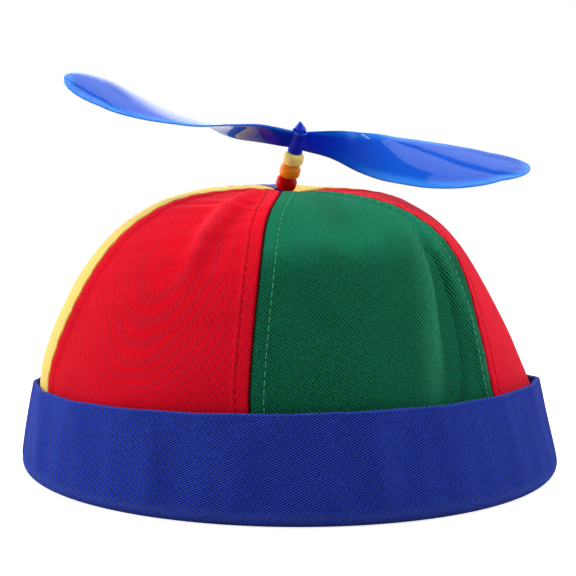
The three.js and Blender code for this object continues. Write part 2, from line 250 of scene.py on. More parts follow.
def spline_at(points: np.ndarray, t: np.ndarray) -> np.ndarray:
    """Points of a Catmull-Rom curve through some points.

    Args:
        points: The points that the curve passes through, one in each row.
        t: Places along the curve from 0 to 1, even between the points.

    Returns:
        One point for each place.
    """
    last = len(points) - 1
    i = np.minimum((t * last).astype(int), last - 1)
    w = (t * last - i)[:, None]
    before, here = points[np.maximum(i - 1, 0)], points[i]
    after, beyond = points[i + 1], points[np.minimum(i + 2, last)]
    leave, arrive = (after - before) / 2, (beyond - here) / 2
    cubic = 2 * here - 2 * after + leave + arrive
    square = -3 * here + 3 * after - 2 * leave - arrive
    return cubic * w**3 + square * w**2 + leave * w + here


def read_table(rows: tuple, key: str, column: str, at: np.ndarray) -> np.ndarray:
    """Reads a smooth curve through the rows of a table.

    Args:
        rows: The table's rows, in order of the key.
        key: The column that is looked up.
        column: The column that is read.
        at: Values of the key.

    Returns:
        The column's value at each of them.
    """
    x = np.array([getattr(row, key) for row in rows], float)
    y = np.array([getattr(row, column) for row in rows], float)
    low, high = np.maximum(np.arange(len(x)) - 1, 0), np.minimum(np.arange(len(x)) + 1, len(x) - 1)
    slope = (y[high] - y[low]) / (x[high] - x[low])
    i = np.clip(np.searchsorted(x, at, side="right") - 1, 0, len(x) - 2)
    step = x[i + 1] - x[i]
    t = np.clip((at - x[i]) / step, 0, 1)
    ends = (1 + 2 * t) * (1 - t) ** 2 * y[i] + t * t * (3 - 2 * t) * y[i + 1]
    return ends + step * (t * (1 - t) ** 2 * slope[i] + t * t * (t - 1) * slope[i + 1])


def loft_faces(loops: int, around: int, capped: bool) -> list[tuple[int, ...]]:
    """Faces that join loops of points into a closed skin.

    Args:
        loops: How many loops there are.
        around: An even number of points in each.
        capped: True closes both ends by strips between a loop's two halves.

    Returns:
        Faces as tuples of point numbers, loop by loop.
    """
    faces = []
    for i in range(loops - 1):
        for k in range(around):
            a, b = i * around + k, i * around + (k + 1) % around
            faces.append((a, b, b + around, a + around))
    end = (loops - 1) * around
    for k in range(around // 2 - 1 if capped else 0):
        a, b, c, d = k, k + 1, around - 2 - k, around - 1 - k
        faces.append((a, d, c, b))
        faces.append((end + a, end + b, end + c, end + d))
    return faces


def make_piece(name: str, points: np.ndarray, faces: list, finish: bpy.types.Material) -> bpy.types.Object:
    """Makes a smooth mesh object from points in millimetres.

    Args:
        name: The piece's name.
        points: One point in each row.
        faces: Tuples of point numbers.
        finish: The piece's material.

    Returns:
        The new object, in the scene.
    """
    mesh = bpy.data.meshes.new(name)
    mesh.from_pydata((points * MM).tolist(), [], faces)
    mesh.validate()
    mesh.polygons.foreach_set("use_smooth", [True] * len(mesh.polygons))
    mesh.materials.append(finish)
    piece = bpy.data.objects.new(name, mesh)
    bpy.context.scene.collection.objects.link(piece)
    return piece


def map_cloth(piece: bpy.types.Object, grain: np.ndarray, wear_and_shade: np.ndarray) -> None:
    """Gives a cloth piece the flat pattern's coordinates and its rubbing, with painted light and shade.

    Args:
        piece: The piece.
        grain: Where each point lay on the flat cloth, in millimetres.
        wear_and_shade: 1 where a point rubs pale, also where painted light lifts a raised crease; 0 on plain
            cloth; -1 where shade is painted deep in a seam and in sunk creases.
    """
    mesh = piece.data
    corner = np.empty(len(mesh.loops), np.int32)
    mesh.loops.foreach_get("vertex_index", corner)
    layer = mesh.uv_layers.new(name=CLOTH_MAP)
    layer.uv.foreach_set("vector", (grain[corner] * MM).astype(np.float32).ravel())
    attribute = mesh.attributes.new(WEAR_AND_SHADE_ATTRIBUTE, "FLOAT", "POINT")
    attribute.data.foreach_set("value", wear_and_shade.astype(np.float32))


# Finishes


class Wale(Enum):
    """Which way a twill's diagonal lines run on the cut cloth: degrees from level, up to the right."""

    STEEP_FALLING = -61.0
    LOW_RISING = 26.5


@dataclass(frozen=True)
class CottonTwill:
    """Piece-dyed cotton twill, woven: matt, soft at grazing light, with diagonal ridges of yarn."""

    name: str
    dye: str
    valley: str  # colour between the ridges, where light doesn't reach
    wear_and_painted_light: str  # colour where the nap rubs pale, also painted as light on raised creases
    wale: Wale
    contrast: float = 0.5  # how dark the valleys are, from 0 to 1
    grain: float = 0.14  # how much single yarns differ
    wale_spacing: float = 0.77
    yarn_width: float = 0.5
    yarn_length: float = 1.5  # of one float over its neighbours
    yarn_lean: float = 8.0  # degrees between the yarns and the ridges
    relief: float = 0.16  # height of the ridges
    smooth_above: float = 999.0  # millimetres up the cloth above which the ridges and their painted valley shade fade
    smooth_over: float = 30.0  # how far the change takes
    still_crisp: float = 0.22  # what is left of the ridges above it
    sheen: float = 0.06  # how much its nap lights up at grazing angles

    def build(self) -> bpy.types.Material:
        """Builds the material's nodes.

        Returns:
            The material.
        """
        material, tree = new_material(self.name)
        place = add_node(tree, "ShaderNodeUVMap", uv_map=CLOTH_MAP).outputs["UV"]
        turn = -math.radians(self.wale.value + 90)
        turned = {"Vector": place, "Rotation": (0, 0, turn)}
        across = add_node(tree, "ShaderNodeMapping", turned).outputs["Vector"]
        bands = {
            "Vector": across,
            "Scale": WAVE_TURN / (self.wale_spacing * MM),
            "Distortion": 0.6,
            "Detail": 1.0,
            "Detail Scale": 0.6,
        }
        ridge = add_node(tree, "ShaderNodeTexWave", bands, bands_direction="X").outputs["Fac"]
        drawn_out = {
            "Vector": place,
            "Rotation": (0, 0, -math.radians(self.wale.value + 90 - self.yarn_lean)),
            "Scale": (1 / (self.yarn_width * MM), 1 / (self.yarn_length * MM), 1),
        }
        along = add_node(tree, "ShaderNodeMapping", drawn_out).outputs["Vector"]
        yarn = noise(tree, along, 1.0, 1.5)
        slub = noise(tree, place, 900.0, 3.0)
        patch = noise(tree, place, 45.0, 2.0)
        # the ridges and their painted valley shade fade higher up the cloth, along an uneven border
        height_up = add_node(tree, "ShaderNodeSeparateXYZ", {"Vector": place}).outputs["Y"]
        uneven = calculate(tree, "MULTIPLY_ADD", patch, 0.024, height_up)
        low = (self.smooth_above - self.smooth_over / 2 + 12) * MM
        high = (self.smooth_above + self.smooth_over / 2 + 12) * MM
        crisp = map_range(tree, uneven, (low, high), (1.0, self.still_crisp), smooth=True)
        # dark valleys between the ridges, broken up by single yarns
        dark = map_range(tree, ridge, (0.25, 0.75), (self.contrast, 0.0))
        broken = map_range(tree, yarn, (0.3, 0.7), (1.2, 0.72))
        dashes = calculate(tree, "MULTIPLY", dark, broken)
        valley_share = calculate(tree, "MULTIPLY", dashes, crisp, clamp=True)
        shade = map_range(tree, patch, (0.3, 0.7), (0.96, 1.04))
        grain = map_range(tree, yarn, (0.3, 0.7), (1 - self.grain, 1 + self.grain))
        mottled = shaded(tree, linear(self.dye), calculate(tree, "MULTIPLY", shade, grain))
        woven = mix_colours(tree, valley_share, mottled, linear(self.valley))
        # pale where it rubs and where light is painted on raised creases; painted shade where it turns into
        # a seam and in sunk creases
        wear_and_shade = attribute_of(tree, WEAR_AND_SHADE_ATTRIBUTE)
        wear_and_highlight_share = calculate(tree, "MULTIPLY", wear_and_shade, slub)
        wear_and_painted_light = mix_colours(tree, wear_and_highlight_share, woven, linear(self.wear_and_painted_light))
        painted_shade_share = calculate(tree, "MULTIPLY", wear_and_shade, -1.0)
        ribbed = calculate(tree, "MULTIPLY", ridge, crisp)
        threads = calculate(tree, "MULTIPLY_ADD", yarn, 0.5, ribbed)
        fuzzy = calculate(tree, "MULTIPLY_ADD", slub, 0.35, threads)
        surface = {
            "Base Color": mix_colours(tree, painted_shade_share, wear_and_painted_light, linear(self.valley)),
            "Normal": bump(tree, fuzzy, self.relief),
            "Roughness": 0.88,
            "IOR": 1.46,
            "Specular IOR Level": 0.08,
            "Sheen Weight": self.sheen,
            "Sheen Roughness": 0.45,
            "Sheen Tint": linear(self.wear_and_painted_light),
        }
        dress(tree, surface)
        return material


@dataclass(frozen=True)
class SewingThread:
    """Spun polyester sewing thread, twisted: a soft gloss along its plies."""

    name: str
    dye: str
    twist: float = 0.55  # length of one twist of the plies

    def build(self) -> bpy.types.Material:
        """Builds the material's nodes.

        Returns:
            The material.
        """
        material, tree = new_material(self.name)
        place = add_node(tree, "ShaderNodeTexCoord").outputs["Object"]
        bands = {"Vector": place, "Scale": WAVE_TURN / (self.twist * MM), "Distortion": 1.0}
        plies = add_node(tree, "ShaderNodeTexWave", bands, bands_direction="DIAGONAL").outputs["Fac"]
        surface = {
            "Base Color": shaded(tree, linear(self.dye), map_range(tree, plies, made=(0.8, 1.1))),
            "Normal": bump(tree, plies, 0.05, 0.8),
            "Roughness": 0.6,
            "Specular IOR Level": 0.15,
        }
        dress(tree, surface)
        return material


@dataclass(frozen=True)
class MouldedPlastic:
    """Injection-moulded polystyrene or polypropylene: glossy, a little clear, with faint flow marks."""

    name: str
    pigment: str
    edge: str  # colour of the light that comes through it
    roughness: float
    clear: float  # share of the light that enters it
    depth: float  # how far light travels inside
    gloss: float = 0.5  # strength of its reflections
    thick_gloss: float = 0.12  # the same on thick parts, which shrink a little dull
    thick: str | None = None  # colour of thick parts, painted darker as shade where no light comes through
    thin: str | None = None  # colour of the thinnest edges, painted lighter for the light that comes through them
    flow: float = 14.0  # spacing of the flow marks
    ripple: float = 0.02  # height of the flow marks

    def build(self) -> bpy.types.Material:
        """Builds the material's nodes.

        Returns:
            The material.
        """
        material, tree = new_material(self.name)
        place = add_node(tree, "ShaderNodeTexCoord").outputs["Object"]
        flow = noise(tree, place, 1 / (self.flow * MM), 2.0, 0.4)
        specks = noise(tree, place, 2400.0, 2.0)
        wall = attribute_of(tree, THIN_ATTRIBUTE)
        # painted shade and light: darker in the thick hub, where no light would come through, and lighter at
        # the thin blade edges, where it would
        body = mix_colours(tree, wall, linear(self.thick or self.pigment), linear(self.pigment))
        rim = map_range(tree, wall, (1.0, 2.0))
        dyed = mix_colours(tree, rim, body, linear(self.thin or self.pigment))
        dull = (self.roughness * 0.7, self.roughness * 1.3)
        gloss = self.gloss
        if self.thick:
            gloss = map_range(tree, wall, (0.05, 0.45), (self.thick_gloss, self.gloss))
        surface = {
            "Base Color": shaded(tree, dyed, map_range(tree, flow, made=(0.95, 1.05))),
            "Roughness": map_range(tree, specks, made=dull),
            "Normal": bump(tree, flow, self.ripple),
            "IOR": 1.5,
            "Specular IOR Level": gloss,
            "Subsurface Weight": self.clear,
            "Subsurface Radius": linear(self.edge)[:3],
            "Subsurface Scale": self.depth * MM,
        }
        dress(tree, surface)
        return material


# The cap's form


@dataclass(frozen=True)
class ProfileRow:
    """Where the crown's outside is, as shares of its height and of its half-width."""

    height: float
    radius: float


@dataclass(frozen=True)
class Seam:
    """A crown seam: its angle and how far it strays from it half way up and at the post, in degrees."""

    angle: float
    stray: float
    post_stray: float = 0.0


@dataclass(frozen=True)
class Fold:
    """A soft fold that runs up the crown: degrees round the cap, shares of the way up, and height."""

    angle: float
    spread: float
    low: float
    high: float
    lift: float


@dataclass(frozen=True)
class Crease:
    """A finer fold along a line on the crown: both ends as degrees and shares of the way up."""

    start: tuple[float, float]
    end: tuple[float, float]
    width: float
    lift: float


@dataclass(frozen=True)
class CapForm:
    """The cap's sizes, with the lines and formulas that its cloth follows."""

    fold_half_width: float = 96.0
    head_oval: float = 1.0415
    crown_height: float = 98.6
    cloth: float = 1.2
    band: float = 1.6
    seam_gap: float = 0.5
    cuff_height: float = 31.2
    cuff_front_rise: float = 4.1
    cuff_flare: float = 5.8
    cuff_ease: float = 1.3
    cuff_leg: float = 10.2
    fold_round: float = 3.3
    cuff_shift: float = -1.3
    crown_shift: float = -3.0
    side_angle: float = -22.0
    lean_side_start: float = 18.0
    lean_side_end: float = 13.7
    lean_forward: float = 18.2
    post_shift: float = -2.4
    bead_radius: float = 3.75
    bead_length: float = 4.5
    bead_start: float = 1.35
    stack_gap: float = 0.3
    hub_length: float = 8.15
    post_hole_radius: float = 2.6
    flattening: float = 0.22
    stray_middle: float = 0.6
    stray_reach: float = 0.23
    cuff_share: float = 0.13
    profile: tuple[ProfileRow, ...] = (
        ProfileRow(0.0, 1.03),
        ProfileRow(0.222, 1.0),
        ProfileRow(0.392, 0.942),
        ProfileRow(0.546, 0.865),
        ProfileRow(0.675, 0.791),
        ProfileRow(0.777, 0.72),
        ProfileRow(0.857, 0.642),
        ProfileRow(0.916, 0.556),
        ProfileRow(0.957, 0.47),
        ProfileRow(0.985, 0.356),
        ProfileRow(0.998, 0.22),
        ProfileRow(1.0, 0.13),
    )
    hole_height: float = 0.988  # the cloth's height at the post, as in the profile
    seams: tuple[Seam, ...] = (
        Seam(-29.4, 1, 6),
        Seam(30, 12.5),
        Seam(90, 0, -16),
        Seam(150, 1.5),
        Seam(210, 0),
        Seam(270, 1.5),
    )
    folds: tuple[Fold, ...] = (
        Fold(-76, 4, 0.1, 0.25, -0.72),
        Fold(70, 6, 0.1, 0.5, -0.5),
        Fold(66, 18, 0.4, 1.0, 1.0),
        Fold(-112, 20, 0.14, 0.68, 1.8),
    )

    @property
    def rim_radius(self) -> float:
        """Half-width outside the cuff's free edge."""
        return self.fold_half_width - self.cuff_flare

    @property
    def crown_radius(self) -> float:
        """Half-width of the crown inside the cuff."""
        return self.rim_radius - self.band - self.cuff_ease

    @property
    def crown_foot(self) -> float:
        """Height of the crown's lower edge."""
        return self.cuff_leg + self.seam_gap

    @property
    def leg_radius(self) -> float:
        """Half-width outside the cuff's inner leg."""
        return self.crown_radius * self.profile[0].radius

    @property
    def apex_height(self) -> float:
        """Height of the cloth at the post."""
        return self.crown_foot + (self.crown_height - self.crown_foot) * self.hole_height

    @property
    def hub_start(self) -> float:
        """Where the hub starts along the post."""
        return self.bead_start + 3 * (self.bead_length + self.stack_gap)

    @property
    def hub_end(self) -> float:
        """Where the hub ends along the post."""
        return self.hub_start + self.hub_length

    @property
    def side(self) -> np.ndarray:
        """The level direction in which the post leans most."""
        a = math.radians(self.side_angle)
        return np.array([math.cos(a), math.sin(a), 0.0])

    @property
    def forward(self) -> np.ndarray:
        """The level direction at right angles to side, to the front."""
        x, y, _ = self.side
        return np.array([y, -x, 0.0])

    def rim_height(self, angle: np.ndarray) -> np.ndarray:
        """Height of the cuff's free edge."""
        return self.cuff_height + self.cuff_front_rise * np.cos(np.radians(angle))

    def ring_point(
        self, angle: np.ndarray, radius: np.ndarray, height: np.ndarray, shift: np.ndarray
    ) -> np.ndarray:
        """Points of oval rings round the cap.

        Args:
            angle: Degrees round the cap.
            radius: Half-width of the ring.
            height: Height of the point.
            shift: How far the ring sits off the middle, along side.

        Returns:
            One point for each angle.
        """
        a = np.radians(angle)
        x = radius * np.sin(a)
        y = -radius * self.head_oval * np.cos(a)
        return np.stack([x, y, height + 0 * x], axis=-1) + np.asarray(shift)[..., None] * self.side

    def profile_at(self, share: np.ndarray) -> tuple[np.ndarray, np.ndarray]:
        """Radius and height of the crown at shares of the way up its cloth."""
        rows = np.array([[row.radius, row.height] for row in self.profile])
        low, high = self.crown_foot, self.crown_height
        hole = [self.post_hole_radius, low + (high - low) * self.hole_height]
        points = np.vstack([rows * [self.crown_radius, high - low] + [0, low], hole])
        even = np.linspace(0, 1, 201)
        along = lengths_along(spline_at(points, even))
        flat = np.ravel(share)
        found = spline_at(points, np.interp(flat * along[-1], along, even))
        return found[:, 0].reshape(np.shape(share)), found[:, 1].reshape(np.shape(share))

    def crown_length(self) -> float:
        """Length of the crown's cloth from its foot to the post."""
        radius, height = self.profile_at(np.linspace(0, 1, 201))
        return float(lengths_along(np.stack([radius, height], axis=1))[-1])

    def post_pull(self, points: np.ndarray) -> np.ndarray:
        """How far the leaning post lifts or lowers the cloth round its foot."""
        away = points - self.side * self.post_shift
        away[..., 2] = 0
        reach = hump(np.linalg.norm(away, axis=-1), self.bead_radius * 2.4)
        sideways = math.tan(math.radians(self.lean_side_start))
        forwards = math.tan(math.radians(self.lean_forward))
        return -0.75 * reach * (away @ self.side * sideways + away @ self.forward * forwards)

    def crown_point(self, angle: np.ndarray, share: np.ndarray, from_middle: np.ndarray) -> np.ndarray:
        """Points of the crown's outside, without seams and stitches.

        Args:
            angle: Degrees round the cap.
            share: Share of the way up the cloth.
            from_middle: Degrees from the middle of the point's panel.

        Returns:
            One point for each.
        """
        radius, height = self.profile_at(share)
        above = np.clip((share - self.cuff_share) / (0.95 - self.cuff_share), 0, 1)
        ridge = 1 + self.flattening * np.sin(np.pi * above) * (1 / np.cos(np.radians(from_middle)) - 1)
        fold = np.zeros_like(radius)
        for row in self.folds:
            along = np.clip((share - row.low) / (row.high - row.low), 0, 1)
            fold += row.lift * np.sin(np.pi * along) ** 2 * hump(turn_between(angle, row.angle), row.spread)
        rise = (height - self.crown_foot) / (self.crown_height - self.crown_foot)
        shift = self.crown_shift * ease(rise, 0, 0.35)
        points = self.ring_point(angle, radius * ridge + fold, height, shift)
        points[..., 2] += self.post_pull(points.copy())
        return points

    def seam_angle(self, seam: Seam, share: np.ndarray) -> np.ndarray:
        """Where a seam runs at shares of the way up, in degrees."""
        middle = seam.stray * hump(share - self.stray_middle, self.stray_reach)
        return seam.angle + middle + seam.post_stray * ease(share, 0.62, 0.95)

    def post_at(self, length: float) -> tuple[np.ndarray, np.ndarray]:
        """Where the post is at a length along it from the crown's outside.

        Args:
            length: Millimetres along the post.

        Returns:
            The point and the unit direction there.
        """

        def direction(s: float) -> np.ndarray:
            """The post's unit direction at a length along it."""
            turned = ease(np.array(s), 0, self.hub_start)
            side = self.lean_side_start + (self.lean_side_end - self.lean_side_start) * turned
            sideways = math.tan(math.radians(side))
            forwards = math.tan(math.radians(self.lean_forward))
            return unit(np.array([0, 0, 1.0]) + self.side * sideways + self.forward * forwards)

        steps = 40
        point = self.side * self.post_shift + [0, 0, self.apex_height]
        for i in range(steps):
            point = point + direction(length * (i + 0.5) / steps) * length / steps
        return point, direction(length)


# Crown panels


@dataclass
class CrownPanel:
    """One sewn gore of the crown, with rolled seam edges and a topstitched allowance along each."""

    form: CapForm
    index: int
    name: str
    slot: str
    cloth: bpy.types.Material
    thread: bpy.types.Material
    creases: tuple[Crease, ...] = ()
    # painted shade in the crevice where the cloth turns into the seam
    seam_painted_shade: float = 1.0  # how dark the cloth is where it turns into the seam
    crease_wear_and_painted_light: float = 0.2  # how much each millimetre of a crease's rise paints it paler, partly rubbing and partly painted light, and each millimetre it sinks paints it darker as shade
    drift_gain: float = 1.0  # how uneven the cloth lies
    stitched_sides: tuple[int, ...] = (0, 1)
    seam_gap: float = 0.12  # what shows between two panels
    roll: float = 1.15  # radius of the turned edge
    allowance: float = 5.6  # width of the doubled cloth beside a seam
    allowance_lift: float = 0.38
    stitch_line: float = 4.5  # from the seam
    stitch_sink: float = 0.32
    stitch_pitch: float = 3.0
    stitch_length: float = 2.45
    thread_radius: float = 0.16
    rows: int = 230
    middle_columns: int = 34
    edge_columns: tuple[float, ...] = (
        0, 0.08, 0.2, 0.36, 0.56, 0.8, 1.1, 1.7, 2.5, 3.3, 3.75, 4.05, 4.3, 4.5, 4.7, 4.95, 5.25, 5.6,
        6.0, 6.5, 7.4,
    )
    seed: int = 11

    def edges(self, share: np.ndarray) -> tuple[np.ndarray, np.ndarray, np.ndarray]:
        """The panel's two edges and the cap's radius at shares of the way up.

        Args:
            share: Shares of the way up.

        Returns:
            Start and end in degrees, and millimetres of cloth for each degree.
        """
        seams = self.form.seams
        low, high = seams[self.index], seams[(self.index + 1) % len(seams)]
        wide = 360 if self.index == len(seams) - 1 else 0
        radius, _ = self.form.profile_at(share)
        a_degree = np.radians(radius * (1 + self.form.head_oval) / 2)
        gap = self.seam_gap / 2 / a_degree
        start = self.form.seam_angle(low, share) + gap
        end = self.form.seam_angle(high, share) + wide - gap
        return start, end, a_degree

    def surface(
        self, angle: np.ndarray, share: np.ndarray, start: np.ndarray, end: np.ndarray
    ) -> tuple[np.ndarray, np.ndarray]:
        """The plain outside of the panel with its outward normals.

        Args:
            angle: Degrees round the cap.
            share: Shares of the way up.
            start: The panel's first edge at each share, in degrees.
            end: Its last edge.

        Returns:
            Points and unit normals.
        """
        middle, wide = (start + end) / 2, end - start

        def place(a: np.ndarray, s: np.ndarray) -> np.ndarray:
            """The crown's outside at degrees and shares, with the panel's own rounding."""
            return self.form.crown_point(a, s, (a - middle) / wide * 60)

        step = 0.004
        around = place(angle + 0.5, share) - place(angle - 0.5, share)
        upward = place(angle, np.minimum(share + step, 1)) - place(angle, np.maximum(share - step, 0))
        return place(angle, share), unit(np.cross(around, upward))

    def relief(
        self, angle: np.ndarray, share: np.ndarray, start: np.ndarray, end: np.ndarray, a_degree: np.ndarray
    ) -> np.ndarray:
        """How far the cloth stands out from the plain surface.

        Args:
            angle: Degrees round the cap.
            share: Shares of the way up.
            start: The panel's first edge at each share, in degrees.
            end: Its last edge.
            a_degree: Millimetres of cloth for each degree.

        Returns:
            Millimetres along the normal.
        """
        left, right = (angle - start) * a_degree, (end - angle) * a_degree
        beside = np.minimum(left, right)
        wide = (end - start) * a_degree
        up = share * self.form.crown_length()
        roll = np.minimum(self.roll, wide * 0.2)
        sunk = roll - np.sqrt(np.maximum(roll**2 - np.maximum(roll - beside, 0) ** 2, 0))
        room = ease(wide, 6, 16)
        raised = self.allowance_lift * room * (1 - ease(beside, self.allowance - 0.5, self.allowance + 0.7))
        pucker = 0.75 + 0.25 * np.cos(2 * np.pi * up / self.stitch_pitch)
        stitched = self.stitch_sink * room * pucker * hump(beside - self.stitch_line, 0.42)
        rng = np.random.default_rng(self.seed + self.index)
        drift = np.zeros_like(beside)
        for wavelength, height in ((52, 0.16), (37, 0.1), (23, 0.04), (12, 0.02)):
            for _ in range(3):
                turn, phase = rng.uniform(0, np.pi), rng.uniform(0, 2 * np.pi)
                along = (angle * a_degree) * np.cos(turn) + up * np.sin(turn)
                drift += height * np.sin(2 * np.pi * along / wavelength + phase) / 1.7
        drift *= self.drift_gain * ease(beside, 0.5, 9) * ease(up, 15, 30) * ease(1 - share, 0.02, 0.2)
        tug = 0.1 * np.sin(2 * np.pi * up / (self.stitch_pitch * 2.37) + self.index) * hump(beside, 3)
        return raised - stitched - sunk + drift + tug * room + self.creased(angle, up, a_degree)

    def creased(self, angle: np.ndarray, up: np.ndarray, a_degree: np.ndarray) -> np.ndarray:
        """How far all the creases lift the cloth at points on it, in millimetres."""
        lifts = [self.crease_lift(crease, angle, up, a_degree) for crease in self.creases]
        return sum(lifts, np.zeros_like(angle))

    def crease_lift(
        self, crease: Crease, angle: np.ndarray, up: np.ndarray, a_degree: np.ndarray
    ) -> np.ndarray:
        """How far one crease lifts the cloth.

        Args:
            crease: The crease.
            angle: Degrees round the cap.
            up: Millimetres up the cloth.
            a_degree: Millimetres of cloth for each degree.

        Returns:
            Millimetres along the normal.
        """
        length = self.form.crown_length()
        (a0, s0), (a1, s1) = crease.start, crease.end
        mean = float(np.mean(self.edges(np.array([s0, s1]))[2]))
        run, climb = (a1 - a0) * mean, (s1 - s0) * length
        long = math.hypot(run, climb)
        x, y = turn_between(angle, a0) * a_degree, up - s0 * length
        along = (x * run + y * climb) / long
        beside = (x * climb - y * run) / long
        ends = ease(along, -0.15 * long, 0.3 * long) * (1 - ease(along, 0.6 * long, 1.2 * long))
        return crease.lift * ends * hump(beside, crease.width)

    def grid(self) -> tuple[np.ndarray, np.ndarray, np.ndarray, np.ndarray]:
        """The panel's columns and rows.

        Returns:
            Angle and share of each point, its flat place on the cloth, and its distance from a seam.
        """
        share = np.linspace(0, 1, self.rows)
        start, end, a_degree = self.edges(share)
        wide = (end - start) * a_degree
        marks = np.array(self.edge_columns)
        squeeze = np.minimum(1, 0.42 * wide / marks[-1])
        left = marks[None, :] * squeeze[:, None]
        t = np.linspace(0, 1, self.middle_columns + 2)[1:-1]
        inner = left[:, -1:] + t * (wide[:, None] - 2 * left[:, -1:])
        across = np.concatenate([left, inner, wide[:, None] - left[:, ::-1]], axis=1)
        angle = start[:, None] + across / a_degree[:, None]
        up = np.broadcast_to((share * self.form.crown_length())[:, None], angle.shape)
        grain = np.stack([across - wide[:, None] / 2, up], axis=-1)
        beside = np.minimum(across, wide[:, None] - across)
        return angle, np.broadcast_to(share[:, None], angle.shape), grain, beside

    def build(self) -> bpy.types.Object:
        """Returns:
            The panel.
        """
        angle, share, grain, beside = self.grid()
        start, end, a_degree = (x[:, None] for x in self.edges(share[:, 0]))
        points, normals = self.surface(angle, share, start, end)
        lift = self.relief(angle, share, start, end, a_degree)
        outside = points + normals * lift[..., None]
        doubled = 0.8 * ease(beside, 0.2, 1.2) * (1 - ease(beside, self.allowance - 0.3, self.allowance))
        level = unit(normals * [1, 1, 0])
        inward = np.where((share == 0)[..., None], level, normals)
        inside = points - inward * (self.form.cloth + doubled * ease(1 - share, 0.05, 0.2))[..., None]
        loops = np.concatenate([outside, inside[:, ::-1]], axis=1)
        flat = np.concatenate([grain, grain[:, ::-1]], axis=1)
        folded = self.creased(angle, grain[..., 1], a_degree)
        # paler on raised creases, partly rubbing and partly painted light; painted shade in sunk creases and
        # where the cloth turns into a seam
        wear_and_painted_light = np.clip(self.crease_wear_and_painted_light * folded - self.seam_painted_shade * hump(beside, 0.5), -1, 1)
        wear_and_shade_values = np.concatenate([wear_and_painted_light, 0 * wear_and_painted_light], axis=1)
        faces = loft_faces(len(loops), loops.shape[1], capped=True)
        piece = make_piece(self.name, loops.reshape(-1, 3), faces, self.cloth)
        map_cloth(piece, flat.reshape(-1, 2), wear_and_shade_values.reshape(-1))
        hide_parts(self.name.replace("cloth_", "panel_"))
        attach(piece, "cap")
        length = self.form.crown_length()
        return piece

    def stitches(self) -> bpy.types.Object:
        """Makes the rows of topstitching, each stitch a short bowed thread.

        Returns:
            The stitches as one piece.
        """
        points, faces = [], []
        for side in self.stitched_sides:
            for line, normals in self.stitch_paths(side):
                ring_points, ring_faces = thread_stitch(line, normals, self.thread_radius)
                faces += [tuple(i + sum(map(len, points)) for i in face) for face in ring_faces]
                points.append(ring_points)
        name = self.name.replace("cloth_", "stitches_")
        piece = make_piece(name, np.concatenate(points), faces, self.thread)
        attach(piece, "cap")
        return piece

    def stitch_paths(self, side: int) -> list[tuple[np.ndarray, np.ndarray]]:
        """The line of each stitch along one edge of the panel.

        Args:
            side: 0 for the panel's first edge, 1 for its last.

        Returns:
            Points and normals of each stitch.
        """
        share = np.linspace(0.12, 0.985, 900)
        start, end, a_degree = self.edges(share)
        keep = (end - start) * a_degree > 2 * self.stitch_line + 1.5
        share, start, end, a_degree = share[keep], start[keep], end[keep], a_degree[keep]
        inset = self.stitch_line / a_degree
        angle = end - inset if side else start + inset
        surface, normals = self.surface(angle, share, start, end)
        lift = self.relief(angle, share, start, end, a_degree)
        line = surface + normals * lift[:, None]
        along = lengths_along(line)
        found = []
        t = np.linspace(0, 1, 6)
        for first in np.arange(0.4, along[-1] - self.stitch_length, self.stitch_pitch):
            at = first + t * self.stitch_length
            spot = np.stack([np.interp(at, along, line[:, k]) for k in range(3)], axis=1)
            out = unit(np.stack([np.interp(at, along, normals[:, k]) for k in range(3)], axis=1))
            bow = self.thread_radius * (1.35 * np.sin(np.pi * t) ** 0.6 - 0.75)
            found.append((spot + out * bow[:, None], out))
        return found


def thread_stitch(line: np.ndarray, normals: np.ndarray, radius: float) -> tuple[np.ndarray, list]:
    """A closed tube of thread along one stitch.

    Args:
        line: Points along the stitch.
        normals: The cloth's normals at them.
        radius: The thread's radius.

    Returns:
        Points and faces of the tube.
    """
    sides = 6
    ahead = unit(np.gradient(line, axis=0))
    beside = unit(np.cross(ahead, normals))
    above = np.cross(beside, ahead)
    turn = np.arange(sides) / sides * 2 * np.pi
    t = np.linspace(-1, 1, len(line))
    swell = radius * np.sqrt(1 - 0.75 * t**2)
    spokes = np.cos(turn)[None, :, None] * beside[:, None] + np.sin(turn)[None, :, None] * above[:, None]
    points = line[:, None] + spokes * swell[:, None, None]
    faces = loft_faces(len(line), sides, capped=False)
    last = (len(line) - 1) * sides
    faces.append(tuple(range(sides))[::-1])
    faces.append(tuple(last + k for k in range(sides)))
    return points.reshape(-1, 3), [face[::-1] for face in faces]


# Cuff


